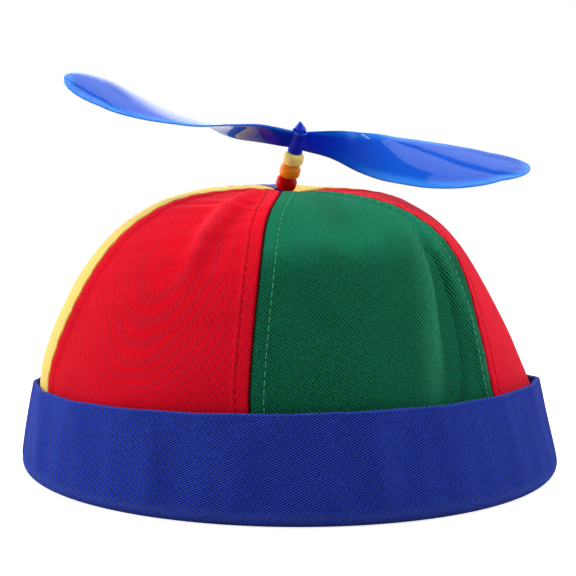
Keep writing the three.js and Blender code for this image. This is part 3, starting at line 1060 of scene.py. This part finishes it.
@dataclass
class TurnedUpCuff:
    """The doubled twill band, folded up over itself, joined by one seam at the back."""

    form: CapForm
    cloth: bpy.types.Material
    steps: int = 620
    wall_rows: int = 30
    edge_rows: int = 22
    flare_curve: float = 1.15
    edge_groove: float = 0.38  # between the two layers at the free edge
    join_roll: float = 0.9
    rim_waver: float = 0.28
    right_squeeze: float = 0.009  # the right side lies in a little
    squeeze_at: tuple[float, float] = (62.0, 36.0)  # the middle and the spread of that, in degrees
    right_dip: float = 4.2  # and its free edge dips
    dip_at: tuple[float, float] = (92.0, 24.0)
    wave_gain: float = 1.5
    waves: tuple[tuple[float, float, float], ...] = (
        (-50, 3.0, 0.6),
        (-42, 3.5, -0.5),
        (-32, 3.0, 0.7),
        (-26, 3.0, -0.5),
        (-21, 3, -0.64),
        (-15, 2.5, 0.56),
        (-5, 2.5, 0.56),
        (1, 3.5, -0.64),
    )
    seed: int = 5

    def wave(self, angle: np.ndarray, share: np.ndarray) -> np.ndarray:
        """How far the outer wall is pushed out.

        Args:
            angle: Degrees round the cap.
            share: Shares of the way up the wall.

        Returns:
            Millimetres outward.
        """
        rng = np.random.default_rng(self.seed)
        out = np.zeros_like(angle)
        for middle, spread, lift in self.waves:
            out += lift * hump(turn_between(angle, middle), spread)
        for middle in np.arange(40, 320, 13.0):
            spot = middle + rng.uniform(-4, 4)
            out += rng.uniform(-0.4, 0.4) * hump(turn_between(angle, spot), rng.uniform(2.5, 6))
        out *= self.wave_gain * np.sin(np.pi * np.minimum(share * 1.05, 1))
        for wavelength, height in ((17, 0.16), (9, 0.1), (5, 0.05)):
            for _ in range(3):
                lean, phase = rng.uniform(-0.6, 0.6), rng.uniform(0, 2 * np.pi)
                turns = np.round(360 / wavelength) * angle / 360 + lean * share
                out += height * np.sin(2 * np.pi * turns + phase)
        return out

    def section(self, angle: np.ndarray) -> tuple[np.ndarray, np.ndarray, np.ndarray]:
        """The band's section at each angle, once round from the fold.

        Args:
            angle: Degrees round the cap, one for each section.

        Returns:
            Radius and height of each point, and how much it rubs.
        """
        form = self.form
        half = form.band / 2
        low = form.fold_round
        rng = np.random.default_rng(self.seed + 1)
        waver = sum(
            np.sin(np.radians(angle) * k + rng.uniform(0, 6.28)) / k**0.5 for k in (5, 8, 13, 21)
        )
        rim = form.rim_height(angle) + self.rim_waver * waver * 0.5
        rim = rim - self.right_dip * hump(turn_between(angle, self.dip_at[0]), self.dip_at[1])

        def wall(height: np.ndarray, inset: float) -> np.ndarray:
            """Half-width of the outer wall at a height, less an inset."""
            share = np.clip((height - low) / (rim - low), 0, 1)
            return form.fold_half_width - form.cuff_flare * share**self.flare_curve - inset

        radius, height, rub = [], [], []

        def point(r: np.ndarray | float, z: np.ndarray | float, wear_and_shade_values: float) -> None:
            """Adds one point to the section at every angle."""
            radius.append(r + 0 * angle)
            height.append(z + 0 * angle)
            rub.append(wear_and_shade_values)

        leg_in = form.leg_radius - form.cloth
        flat_in, flat_out = leg_in + 2, leg_in + 4.6
        for t in np.linspace(0, 1, 5)[:-1]:
            point(flat_in + t * (flat_out - flat_in), 0, 0)
        for t in np.linspace(0, np.pi / 2, 11)[:-1]:
            reach = form.fold_half_width - flat_out
            point(flat_out + reach * np.sin(t), low * (1 - np.cos(t)), 0.15 * math.sin(t) ** 4)
        for t in np.linspace(0, 1, self.wall_rows):
            z = low + t * (rim - half - low)
            point(wall(z, 0), z, 0.15 * max(0, 1 - t * 12))
        crest = rim - half
        for t in np.linspace(0, np.pi, self.edge_rows + 2)[1:-1]:
            groove = self.edge_groove * math.exp(-((math.cos(t) / 0.2) ** 2))
            point(wall(crest, half) + half * np.cos(t), crest + half * np.sin(t) - groove, 0.2 * math.sin(t))
        for t in np.linspace(1, 0.2, 14):
            z = low + t * (crest - low)
            point(wall(z, form.band), z, 0)
        bend = np.array(
            [
                [form.fold_half_width - form.band - 0.9, low + 4],
                [form.fold_half_width - 2.6, low],
                [form.leg_radius + 1, low - 0.6],
                [form.leg_radius, low + 2],
                [form.leg_radius, form.cuff_leg],
            ]
        )
        for r, z in spline_at(bend, np.linspace(0, 1, 17))[1:]:
            point(r, z, 0)
        foot = np.array(
            [[leg_in, form.cuff_leg], [leg_in, form.cuff_leg / 2], [leg_in, low], [leg_in + 0.5, low * 0.25]]
        )
        for r, z in spline_at(foot, np.linspace(0, 1, 9)):
            point(r, z, 0)
        if len(radius) % 2:
            point((leg_in + 0.5 + flat_in) / 2, low * 0.08, 0)
        return np.stack(radius, axis=1), np.stack(height, axis=1), np.array(rub)

    def build(self) -> bpy.types.Object:
        """Returns:
            The cuff.
        """
        form = self.form
        low = form.fold_round
        end_roll = np.array([0, 0.06, 0.16, 0.32, 0.55, 0.9, 1.4])
        a_degree = math.radians(form.fold_half_width)
        near = 180 - 0.012 - end_roll / a_degree
        angle = np.concatenate([near, np.linspace(near[-1], -near[-1], self.steps)[1:-1], -near[::-1]])
        radius, height, rub = self.section(angle)
        rim = form.rim_height(angle)[:, None]
        share = np.clip((height - low) / (rim - low), 0, 1)
        squeezed = self.right_squeeze * hump(turn_between(angle, self.squeeze_at[0]), self.squeeze_at[1])
        radius = radius * (1 - squeezed)[:, None]
        turned = np.broadcast_to(angle[:, None], radius.shape)
        outer = np.arange(radius.shape[1]) < 14 + self.wall_rows + self.edge_rows + 14
        pushed = np.where(outer[None, :] & (share > 0), self.wave(turned, share) * ease(share, 0, 0.12), 0)
        from_join = (180 - np.abs(angle)) * a_degree
        sunk = self.join_roll - np.sqrt(
            np.maximum(self.join_roll**2 - np.maximum(self.join_roll - from_join, 0) ** 2, 0)
        )
        outward = np.arange(radius.shape[1]) < 14 + self.wall_rows + self.edge_rows // 2
        inset = np.where(outward[None, :], sunk[:, None] * ease(share, 0, 0.05), 0)
        points = form.ring_point(turned, radius + pushed - inset, height, form.cuff_shift * share)
        around = -turned * a_degree
        middle = len(angle) // 2
        up = lengths_along(np.stack([radius[middle], height[middle]], axis=1))
        grain = np.stack([-around, np.broadcast_to(up, around.shape)], axis=-1)
        wear_and_shade_values = np.broadcast_to(rub, around.shape)
        faces = loft_faces(len(angle), radius.shape[1], capped=True)
        piece = make_piece("cloth_cuff", points.reshape(-1, 3), faces, self.cloth)
        map_cloth(piece, grain.reshape(-1, 2), wear_and_shade_values.reshape(-1))
        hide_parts("cuff")
        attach(piece, "cap")
        return piece


# Post, beads and propeller


def upright_frame(direction: np.ndarray) -> np.ndarray:
    """The turn that stands +Z along a direction, as a matrix."""
    quaternion = Vector((0, 0, 1)).rotation_difference(Vector(direction))
    return np.array(quaternion.to_matrix())


def turned_body(rows: np.ndarray, sides: int) -> tuple[np.ndarray, list]:
    """A body of revolution round +Z from a closed outline.

    Args:
        rows: Radius and height of each point of the outline, outside upwards.
        sides: How many steps it has round the axis.

    Returns:
        Points and faces.
    """
    turn = np.arange(sides) / sides * 2 * np.pi
    spokes = np.stack([np.cos(turn), np.sin(turn)], axis=1)
    flat = rows[None, :, 0, None] * spokes[:, None, :]
    heights = np.broadcast_to(rows[None, :, 1, None], (*flat.shape[:2], 1))
    points = np.concatenate([flat, heights], axis=2)
    n = len(rows)
    faces = []
    for i in range(sides):
        for k in range(n):
            a, b = i * n + k, i * n + (k + 1) % n
            c, d = (i + 1) % sides * n + k, (i + 1) % sides * n + (k + 1) % n
            faces.append((a, c, d, b))
    return points.reshape(-1, 3), faces


@dataclass
class BeadPost:
    """The flexible post in one piece: flange under the crown, pin, and the barb that keeps the hub on."""

    form: CapForm
    plastic: bpy.types.Material
    radius: float = 1.1
    flange_radius: float = 5.0
    flange_thickness: float = 1.4
    flange_drop: float = 3.2
    neck_radius: float = 1.55  # of the barb inside the cup
    barb_radius: float = 2.05
    barb_start: float = 0.95  # above the hub
    barb_height: float = 3.6  # above the hub
    tip_bend: float = -0.8  # of the barb's tip, along side
    cup_depth: float = 1.5
    barb_gap: float = 0.3
    sides: int = 48

    def build(self) -> bpy.types.Object:
        """Makes the post along its lean.

        Returns:
            The post.
        """
        barb = self.form.hub_end - self.cup_depth + self.barb_gap
        foot = -self.flange_drop
        low, brim = foot - self.flange_thickness, self.flange_radius
        rows = [(low, 0.02), (low, brim - 0.4), (low + 0.3, brim), (foot - 0.3, brim), (foot, brim - 0.4)]
        rows.append((foot + 0.02, self.radius))
        rows += [(at, self.radius) for at in np.linspace(0, barb - 0.02, 40)]
        top = self.form.hub_end
        wide, start = self.barb_radius, top + self.barb_start
        rows += [(barb, self.neck_radius), (start - 0.35, self.neck_radius), (start - 0.1, wide - 0.12)]
        for t in np.linspace(0, 1, 14):
            at = start + (self.barb_height - self.barb_start) * t
            rows.append((at, 0.1 + (wide - 0.1) * (1 - t) ** 0.95))
        turn = np.arange(self.sides) / self.sides * 2 * np.pi
        loops = []
        for at, radius in rows:
            point, direction = self.form.post_at(float(at))
            past_hub = max(0, (at - top) / self.barb_height)
            point = point + self.form.side * self.tip_bend * past_hub**2
            spokes = np.stack([np.cos(turn) * radius, np.sin(turn) * radius, 0 * turn], axis=1)
            loops.append(spokes @ upright_frame(direction).T + point)
        faces = loft_faces(len(loops), self.sides, capped=False)
        last = (len(loops) - 1) * self.sides
        faces.append(tuple(range(self.sides))[::-1])
        faces.append(tuple(last + k for k in range(self.sides)))
        piece = make_piece("post_pin", np.concatenate(loops), faces, self.plastic)
        piece.data.set_sharp_from_angle(angle=math.radians(40))
        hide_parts("post")
        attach(piece, "cap")
        return piece


@dataclass
class PonyBead:
    """A moulded barrel bead with its bore."""

    form: CapForm
    name: str
    order: int
    plastic: bpy.types.Material
    bore: float = 1.5
    narrowing: float = 0.23  # of the radius, at both ends
    barrel_curve: float = 3.4  # how suddenly it narrows there
    sides: int = 64

    def build(self) -> bpy.types.Object:
        """Makes the bead on the post.

        Returns:
            The bead.
        """
        form = self.form
        half = form.bead_length / 2
        outline = []
        for z in np.sin(np.linspace(-np.pi / 2, np.pi / 2, 27)) * half:
            bulge = 1 - self.narrowing * abs(z / half) ** self.barrel_curve
            outline.append((form.bead_radius * bulge, z))
        lip = 0.45
        for t in np.linspace(0, np.pi / 2, 6):
            outline.append((self.bore + lip * (1 - math.sin(t)), half - lip * (1 - math.cos(t)) * 0.6))
        for t in np.linspace(np.pi / 2, 0, 6):
            outline.append((self.bore + lip * (1 - math.sin(t)), -half + lip * (1 - math.cos(t)) * 0.6))
        points, faces = turned_body(np.array(outline), self.sides)
        middle = form.bead_start + half + self.order * (form.bead_length + form.stack_gap)
        place, direction = form.post_at(middle)
        points = points @ upright_frame(direction).T + place
        piece = make_piece("pony_" + self.name, points, faces, self.plastic)
        piece.data.set_sharp_from_angle(angle=math.radians(60))
        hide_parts(self.name)
        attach(piece, "cap")
        return piece


@dataclass(frozen=True)
class Station:
    """A section of the blade: shares of the span and of the widest chord, and its pitch in degrees."""

    span: float
    chord: float
    pitch: float
    rise: float
    sweep: float


@dataclass
class Propeller:
    """The moulded hub and its two twisted blades."""

    form: CapForm
    plastic: bpy.types.Material
    span: float = 84.4
    chord: float = 33.2
    thickness: float = 1.0
    root_thickness: float = 1.1  # more at the hub
    camber: float = 0.03  # share of the chord
    turn: float = 5.5
    hub_radius: float = 2.8
    hub_wall: float = 0.45
    bore: float = 1.45
    cup_depth: float = 1.5
    tip_start: float = 0.847
    tip_fullness: float = 0.6  # 1 makes the tip half an ellipse
    rim_width: float = 5.0  # of the blade's thin edge, which is painted lighter for light coming through
    thick_reach: float = 36.0  # how far from the hub the plastic gets thinner and its painted shade fades
    rows: int = 110
    stations: tuple[Station, ...] = (
        Station(0.023, 0.2, 74, -0.043, -0.002),
        Station(0.16, 0.315, 55, -0.039, -0.012),
        Station(0.282, 0.52, 34.6, -0.05, -0.008),
        Station(0.41, 0.8, 16.5, -0.048, 0.007),
        Station(0.553, 0.95, 10, -0.04, 0.013),
        Station(0.705, 1.0, 4, -0.02, 0.016),
        Station(0.847, 0.82, -1, 0.006, 0.015),
        Station(1.0, 0, -4, 0.031, 0.011),
    )

    def chord_at(self, span: np.ndarray) -> np.ndarray:
        """The blade's chord, which ends in a rounded tip.

        Args:
            span: Shares of the span.

        Returns:
            Millimetres.
        """
        past = np.clip((span - self.tip_start) / (1 - self.tip_start), 0, 1)
        widest = read_table(self.stations, "span", "chord", np.array([self.tip_start]))[0]
        table = read_table(self.stations, "span", "chord", span)
        tip = widest * np.sqrt((1 - past) * (1 + self.tip_fullness * past))
        return np.where(past > 0, tip, table) * self.chord

    def blade(self) -> tuple[np.ndarray, list]:
        """One blade along +X, its leading edge towards -Y.

        Returns:
            Points and faces.
        """
        root = self.stations[0].span
        even = np.linspace(0, 1, self.rows)
        span = root + (0.9993 - root) * (1 - (1 - even) ** 1.6)
        chord = self.chord_at(span)
        pitch = np.radians(read_table(self.stations, "span", "pitch", span))
        sweep = read_table(self.stations, "span", "sweep", span)
        rise = read_table(self.stations, "span", "rise", span)
        middle = np.stack([span, -sweep, rise], axis=1) * self.span
        ahead = np.stack([0 * pitch, -np.cos(pitch), -np.sin(pitch)], axis=1)
        over = np.stack([0 * pitch, -np.sin(pitch), np.cos(pitch)], axis=1)
        around = np.linspace(0, 2 * np.pi, 57)[:-1]
        along = np.sign(np.cos(around)) * np.abs(np.cos(around)) ** 0.8
        through = -np.sign(np.sin(around)) * np.abs(np.sin(around)) ** 0.35
        thick = self.thickness + self.root_thickness * np.exp(-span * self.span / 9)
        thick = thick * np.clip(chord / 4, 0.25, 1)
        bow = self.camber * chord[:, None] * (1 - along[None, :] ** 2) * ease(span, 0.15, 0.45)[:, None]
        up = through[None, :] * thick[:, None] / 2 + bow
        points = (
            middle[:, None]
            + ahead[:, None] * (along[None, :] * chord[:, None] / 2)[..., None]
            + over[:, None] * up[..., None]
        )
        faces = loft_faces(len(span), len(around), capped=False)
        last = (len(span) - 1) * len(around)
        faces.append(tuple(range(len(around)))[::-1])
        faces.append(tuple(last + k for k in range(len(around))))
        return points.reshape(-1, 3), faces

    def hub(self) -> tuple[np.ndarray, list]:
        """The hub with its bore and the cup in its top.

        Returns:
            Points and faces.
        """
        length, cup = self.form.hub_length, self.hub_radius - self.hub_wall
        outline = [(self.bore, -length), (self.hub_radius - 0.3, -length)]
        outline.append((self.hub_radius - 0.1, -length + 0.2))
        for t in np.linspace(0.05, 0.93, 12):
            waist = 0.08 * math.sin(math.pi * t)
            outline.append((self.hub_radius - 0.1 * (1 - t) - waist, -length * (1 - t)))
        for t in np.linspace(0, np.pi, 9):
            lip = self.hub_wall / 2
            outline.append((self.hub_radius - lip + lip * math.cos(t), -lip + lip * math.sin(t)))
        outline += [(cup, -self.cup_depth), (self.bore, -self.cup_depth)]
        return turned_body(np.array(outline), 96)

    def thinness(self, points: np.ndarray) -> np.ndarray:
        """How thin the moulding is at points in its own axes, which sets where it is painted darker as shade
        and lighter as light coming through.

        Args:
            points: One point in each row.

        Returns:
            0 at the hub, 1 in a blade and 2 at a blade's edge.
        """
        flipped = np.where(points[:, :1] < 0, -1.0, 1.0) * points[:, :2]
        span = np.clip(flipped[:, 0] / self.span, self.stations[0].span, 0.999)
        chord = self.chord_at(span)
        pitch = np.radians(read_table(self.stations, "span", "pitch", span))
        sweep = read_table(self.stations, "span", "sweep", span) * self.span
        along = np.abs(flipped[:, 1] + sweep) / np.cos(pitch)
        inside = np.minimum(chord / 2 - along, (1 - span) * self.span)
        reach = self.thick_reach
        blade = ease(np.hypot(points[:, 0], points[:, 1]), self.hub_radius + 0.5, self.hub_radius + reach)
        lip = 0.9 * ease(points[:, 2], -0.9, -0.2) * (1 - blade)
        return lip + blade * (2 - ease(inside, 0.2, self.rim_width))

    def build(self) -> bpy.types.Object:
        """Makes the propeller as one moulding at its rest turn.

        Returns:
            The propeller.
        """
        place, direction = self.form.post_at(self.form.hub_end)
        side = self.form.side
        level = unit(side - direction * (side @ direction))
        turn = Matrix.Rotation(math.radians(self.turn), 3, Vector(direction))
        span = np.array(turn @ Vector(level))
        axes = np.stack([span, np.cross(direction, span), direction], axis=1)
        half_turn = np.diag([-1.0, -1.0, 1.0])
        blade, blade_faces = self.blade()
        parts = [self.hub(), (blade, blade_faces), (blade @ half_turn, blade_faces)]
        made = []
        for number, (points, faces) in enumerate(parts):
            made.append(make_piece(f"propeller_part_{number}", points @ axes.T + place, faces, self.plastic))
        hub = made[0]
        for blade_piece in made[1:]:
            joined = hub.modifiers.new("join", "BOOLEAN")
            joined.operation = "UNION"
            joined.solver = "EXACT"
            joined.object = blade_piece
        drawn = bpy.context.evaluated_depsgraph_get()
        mesh = bpy.data.meshes.new_from_object(hub.evaluated_get(drawn))
        for part in made:
            bpy.data.objects.remove(part)
        piece = bpy.data.objects.new("moulded_propeller", mesh)
        bpy.context.scene.collection.objects.link(piece)
        mesh.polygons.foreach_set("use_smooth", [True] * len(mesh.polygons))
        mesh.set_sharp_from_angle(angle=math.radians(38))
        spots = np.empty(len(mesh.vertices) * 3)
        mesh.vertices.foreach_get("co", spots)
        own = (spots.reshape(-1, 3) / MM - place) @ axes
        attribute = mesh.attributes.new(THIN_ATTRIBUTE, "FLOAT", "POINT")
        attribute.data.foreach_set("value", self.thinness(own).astype(np.float32))
        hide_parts("propeller")
        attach(piece, "propeller")
        return piece


# Studio


@dataclass(frozen=True)
class Softbox:
    """A flat light: where it hangs, its size, how bright its face is, and whether gloss mirrors it.

    Places are metres to the right, away from the camera and up, seen from the camera.
    """

    name: str
    place: tuple[float, float, float]
    size: tuple[float, float]
    glow: float
    aim: tuple[float, float, float] = (0.0, 0.0, 0.12)
    mirrored: bool = True


@dataclass
class Studio:
    """A light table in a white tent that is open to the camera, and the camera at the photo's angle."""

    form: CapForm
    distance: float = 640.0
    height: float = 141.78
    pitch: float = 7.03
    yaw: float = -0.063
    lens: float = 112.0
    table_radius: float = 0.9
    table_shade: str = "#d2d2d2"
    table_glow: float = 0.75
    wall_glow: float = 0.8  # behind the cap, up the wall
    backdrop_glow: float = 2.1  # behind the cap, low down and to the left
    corner_glow: float = 0.4  # behind the cap, low down and to the right
    side_glow: float = 1.0
    front_glow: float = 0.03
    ceiling_glow: float = 0.12  # between the overhead softboxes
    wall_top: float = 0.715  # sine of the angle up to the wall's upper edge
    backdrop_top: tuple[float, float] = (0.45, 0.57)  # the same for the backdrop's upper edge, which is soft
    corner_turn: float = 0.105  # how far the backdrop's right edge is from straight behind the cap
    lights: tuple[Softbox, ...] = (
        Softbox("softbox_overhead_wide", (-0.486, 0.624, 1.32), (1.428, 0.672), 0.78, (-0.486, 0.624, 0)),
        Softbox("softbox_overhead_narrow", (0.45, 0.732, 1.32), (0.444, 0.456), 0.9, (0.45, 0.732, 0)),
        Softbox("strip_right", (0.72, 0.1, 1.08), (0.16, 0.05), 7.0),
        Softbox("scrim_overhead", (0.0, 0.1, 1.3), (1.6, 1.6), 2.12, (0.0, 0.1, 0.0), False),
        Softbox("scrim_back", (0.15, 1.2, 0.7), (1.2, 0.8), 2.2, mirrored=False),
        Softbox("scrim_front", (-0.3, -1.0, 0.75), (0.5, 0.5), 2.5, mirrored=False),
        Softbox("scrim_left", (-1.2, 0.1, 0.5), (0.9, 0.9), 3.5, mirrored=False),
        Softbox("scrim_right", (1.2, 0.1, 0.55), (0.9, 0.9), 2.4, mirrored=False),
    )

    @property
    def away(self) -> np.ndarray:
        """The level direction from the camera to the cap."""
        return -self.form.forward

    def camera(self) -> bpy.types.Object:
        """Makes the camera.

        Returns:
            The camera, set as the scene's.
        """
        side = self.form.side
        yaw, pitch = math.radians(self.yaw), math.radians(self.pitch)
        level = self.away * math.cos(yaw) + side * math.sin(yaw)
        look = level * math.cos(pitch) - np.array([0, 0, math.sin(pitch)])
        data = bpy.data.cameras.new("camera")
        data.lens = self.lens
        data.clip_start = 0.02
        camera = bpy.data.objects.new("camera", data)
        place = -self.away * self.distance + np.array([0, 0, self.height])
        camera.location = Vector(place * MM)
        camera.rotation_mode = "QUATERNION"
        camera.rotation_quaternion = Vector(look).to_track_quat("-Z", "Y")
        bpy.context.scene.collection.objects.link(camera)
        bpy.context.scene.camera = camera
        return camera

    def table(self) -> bpy.types.Object:
        """Makes the round light table, whose opal top glows a little where it is looked at.

        Returns:
            The table's top.
        """
        material, tree = new_material("opal_acrylic_light_table")
        looking = add_node(tree, "ShaderNodeLightPath").outputs["Is Camera Ray"]
        surface = {
            "Base Color": linear(self.table_shade),
            "Roughness": 0.95,
            "Specular IOR Level": 0.0,
            "Emission Color": (1, 1, 1, 1),
            "Emission Strength": calculate(tree, "MULTIPLY", looking, self.table_glow),
        }
        dress(tree, surface)
        sides = 96
        turn = np.arange(sides) / sides * 2 * np.pi
        rim = np.stack([np.cos(turn), np.sin(turn), 0 * turn], axis=1) * self.table_radius / MM
        top = make_piece("light_table", rim, [tuple(range(sides))], material)
        return top

    def softboxes(self) -> None:
        """Hangs the softboxes, out of the camera's sight."""
        side, up = Vector(self.form.side), Vector((0, 0, 1))
        for box in self.lights:
            place, aim = (side * p[0] + Vector(self.away) * p[1] + up * p[2] for p in (box.place, box.aim))
            data = bpy.data.lights.new(box.name, "AREA")
            data.shape = "RECTANGLE"
            data.size, data.size_y = box.size
            data.energy = box.glow * math.pi * box.size[0] * box.size[1]
            light = bpy.data.objects.new(box.name, data)
            light.location = place
            beam = (aim - place).normalized()
            across = side - beam * side.dot(beam)
            axes = Matrix((across.normalized(), across.cross(beam).normalized(), -beam)).transposed()
            light.rotation_mode = "QUATERNION"
            light.rotation_quaternion = axes.to_quaternion()
            light.visible_camera = False
            light.visible_glossy = box.mirrored
            bpy.context.scene.collection.objects.link(light)

    def tent(self) -> None:
        """Makes the tent: bright walls behind and beside the cap, dark over the camera and above."""
        world = bpy.data.worlds.new("white_tent")
        world.use_nodes = True
        tree = world.node_tree
        tree.nodes.clear()
        sight = add_node(tree, "ShaderNodeTexCoord").outputs["Generated"]

        def toward(direction: np.ndarray) -> bpy.types.NodeSocket:
            """How far a line of sight goes in a direction, from -1 to 1."""
            inputs = {0: sight, 1: tuple(direction)}
            return add_node(
                tree, "ShaderNodeVectorMath", inputs, operation="DOT_PRODUCT"
            ).outputs["Value"]

        behind = toward(self.away)
        walls = map_range(tree, behind, (-0.55, 0.0), (self.front_glow, self.side_glow), smooth=True)
        height = add_node(tree, "ShaderNodeSeparateXYZ", {"Vector": sight}).outputs["Z"]
        low = map_range(tree, height, self.backdrop_top, (1.0, 0.0), smooth=True)
        aside = toward(unit(self.form.side - self.corner_turn * self.away))
        lower = map_range(tree, aside, (-0.05, 0.05), (self.backdrop_glow, self.corner_glow), smooth=True)
        back_level = mix_values(tree, low, self.wall_glow, lower)
        back = map_range(tree, behind, (0.2, 0.7), smooth=True)
        level = mix_values(tree, back, walls, back_level)
        above = map_range(tree, height, (self.wall_top - 0.015, self.wall_top + 0.015))
        strength = mix_values(tree, above, level, self.ceiling_glow)
        lit = add_node(tree, "ShaderNodeBackground", {"Color": (1, 1, 1, 1), "Strength": strength})
        seen = add_node(tree, "ShaderNodeBackground", {"Color": (1, 1, 1, 1), "Strength": 1.0})
        looking = add_node(tree, "ShaderNodeLightPath").outputs["Is Camera Ray"]
        both = add_node(
            tree,
            "ShaderNodeMixShader",
            {0: looking, 1: lit.outputs["Background"], 2: seen.outputs["Background"]},
        )
        add_node(tree, "ShaderNodeOutputWorld", {"Surface": both.outputs["Shader"]})
        bpy.context.scene.world = world

    def build(self) -> None:
        """Makes the camera, table, lights and tent, with plain colour management."""
        self.camera()
        self.table()
        self.softboxes()
        self.tent()
        bpy.context.scene.view_settings.view_transform = "Standard"


# The beanie


@dataclass
class Beanie:
    """The whole cap with its finishes."""

    form: CapForm = field(default_factory=CapForm)

    def panels(self) -> list[CrownPanel]:
        """The six panels, in order round the cap from the front.

        Returns:
            The panels, not yet built.
        """
        # crisp dark diagonals low down, which fade on the crown's top
        green = CottonTwill(
            "green_cotton_twill", "#137553", "#02170d", "#3fa27c", Wale.STEEP_FALLING, 0.93,
            smooth_above=79, smooth_over=16,
        )
        # a strong red whose ridges show as soft, fine lines
        red = CottonTwill(
            "red_cotton_twill", "#e40c26", "#78000a", "#ff4a60", Wale.STEEP_FALLING, 0.55, grain=0.07,
            smooth_above=80, smooth_over=70,
        )
        # the same red, smoother, with a pink bloom where it is seen edge on; a second copy for the right
        # front panel, whose darker dye and paler valleys are painted shade and light for how that panel is
        # lit
        red_right = CottonTwill(
            "red_cotton_twill_right", "#dc0424", "#8a0616", "#ff4a60", Wale.STEEP_FALLING, 0.35, relief=0.06,
            smooth_above=80, sheen=0.45,
        )
        # a warm yellow that pales to cream along its edge
        yellow = CottonTwill(
            "yellow_cotton_twill", "#f0cd65", "#b98c2a", "#fff3b8", Wale.STEEP_FALLING, 0.4,
            relief=0.09, sheen=0.5,
        )
        # a mid blue with a strong pale bloom
        blue = CottonTwill(
            "blue_cotton_twill", "#3550b0", "#0a1048", "#a8b8f0", Wale.STEEP_FALLING, 0.6, sheen=0.6
        )
        green_cloth, red_cloth, red_right_cloth = green.build(), red.build(), red_right.build()
        yellow_cloth, blue_cloth = yellow.build(), blue.build()
        # threads: pale dashes on the green, dark ones on the red, hardly seen on the others; the red thread
        # is painted darker than the cloth, as shade in its stitch holes
        green_thread = SewingThread("light_green_thread", "#4fae80").build()
        red_thread = SewingThread("red_thread_with_painted_shade", "#8c0410").build()
        yellow_thread = SewingThread("yellow_thread", "#f0d67c").build()
        blue_thread = SewingThread("blue_thread", "#2a3a98").build()
        ridge = Crease((-43, 0.94), (-56, 0.5), 2.9, 1.8)
        groove = Crease((-37, 0.8), (-50, 0.47), 4.0, -1.1)
        dip = Crease((9, 0.84), (-6, 0.6), 6.5, -1.0)
        pinch = Crease((31, 0.58), (14.5, 0.13), 3.4, -3.4)
        swell = Crease((27, 0.6), (5, 0.13), 4.0, 3.0)
        welt = Crease((35.5, 0.62), (24.5, 0.1), 2.4, 1.5)
        hollow = Crease((-20, 0.5), (-8, 0.33), 6.0, -0.5)
        return [
            CrownPanel(
                self.form, 0, "cloth_front_green", "twill_green", green_cloth, green_thread,
                (dip, pinch, swell, welt, hollow),
            ),
            CrownPanel(
                self.form, 1, "cloth_right_front_red", "twill_red", red_right_cloth, red_thread,
                drift_gain=0.25,
            ),
            CrownPanel(self.form, 2, "cloth_right_back_yellow", "twill_yellow", yellow_cloth, yellow_thread),
            CrownPanel(self.form, 3, "cloth_back_blue", "twill_blue", blue_cloth, blue_thread),
            CrownPanel(
                self.form, 4, "cloth_left_back_yellow", "twill_yellow", yellow_cloth, yellow_thread,
                drift_gain=0.25,
            ),
            CrownPanel(
                self.form, 5, "cloth_left_front_red", "twill_red", red_cloth, red_thread,
                (ridge, groove), stitched_sides=(1,),
            ),
        ]

    def beads(self) -> list[PonyBead]:
        """The three beads, from the crown up."""
        # a soft gloss, and a little depth under the surface
        red = MouldedPlastic("red_polystyrene_bead", "#c80408", "#ff2010", 0.2, 0.3, 1.5, gloss=0.25)
        orange = MouldedPlastic("orange_polystyrene_bead", "#ff9622", "#ffb060", 0.2, 0.1, 1.0, gloss=0.35)
        yellow = MouldedPlastic("yellow_polystyrene_bead", "#fde98c", "#fff0a8", 0.2, 0.25, 1.5, gloss=0.3)
        return [
            PonyBead(self.form, "bead_red", 0, red.build()),
            PonyBead(self.form, "bead_orange", 1, orange.build()),
            PonyBead(self.form, "bead_yellow", 2, yellow.build()),
        ]

    def build(self) -> None:
        """Builds each sub-assembly in order and logs its pieces."""
        for panel in self.panels():
            report(panel.build())
            report(panel.stitches())
        # a deep blue with flatter diagonals than the panels, because the band is cut across
        cuff = CottonTwill(
            "blue_cuff_twill", "#2f48be", "#030532", "#6f86d8", Wale.LOW_RISING, 0.95, wale_spacing=0.745
        )
        report(TurnedUpCuff(self.form, cuff.build()).build())
        # a duller blue than the propeller
        pin = MouldedPlastic("blue_polypropylene_post", "#1d3fd0", "#4070ff", 0.22, 0.2, 1.0)
        report(BeadPost(self.form, pin.build()).build())
        for bead in self.beads():
            report(bead.build())
        # mirror-like blades; painted shade makes the hub a darker violet blue, and painted light makes the
        # thin edges a light blue
        blade = MouldedPlastic(
            "blue_polypropylene_propeller", "#0155cf", "#1060ff", 0.06, 0.25, 1.2, thick="#1024bf",
            thin="#328cf4",
        )
        report(Propeller(self.form, blade.build()).build())


def report(piece: bpy.types.Object) -> None:
    """Logs a piece's name and its number of faces."""
    log.info("%s: %d faces", piece.name, len(piece.data.polygons))


def main() -> None:
    """Loads the frame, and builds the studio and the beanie."""
    logging.basicConfig(level=logging.INFO, format="%(message)s")
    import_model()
    form = CapForm()
    Studio(form).build()
    Beanie(form).build()


if __name__ == "__main__":
    main()
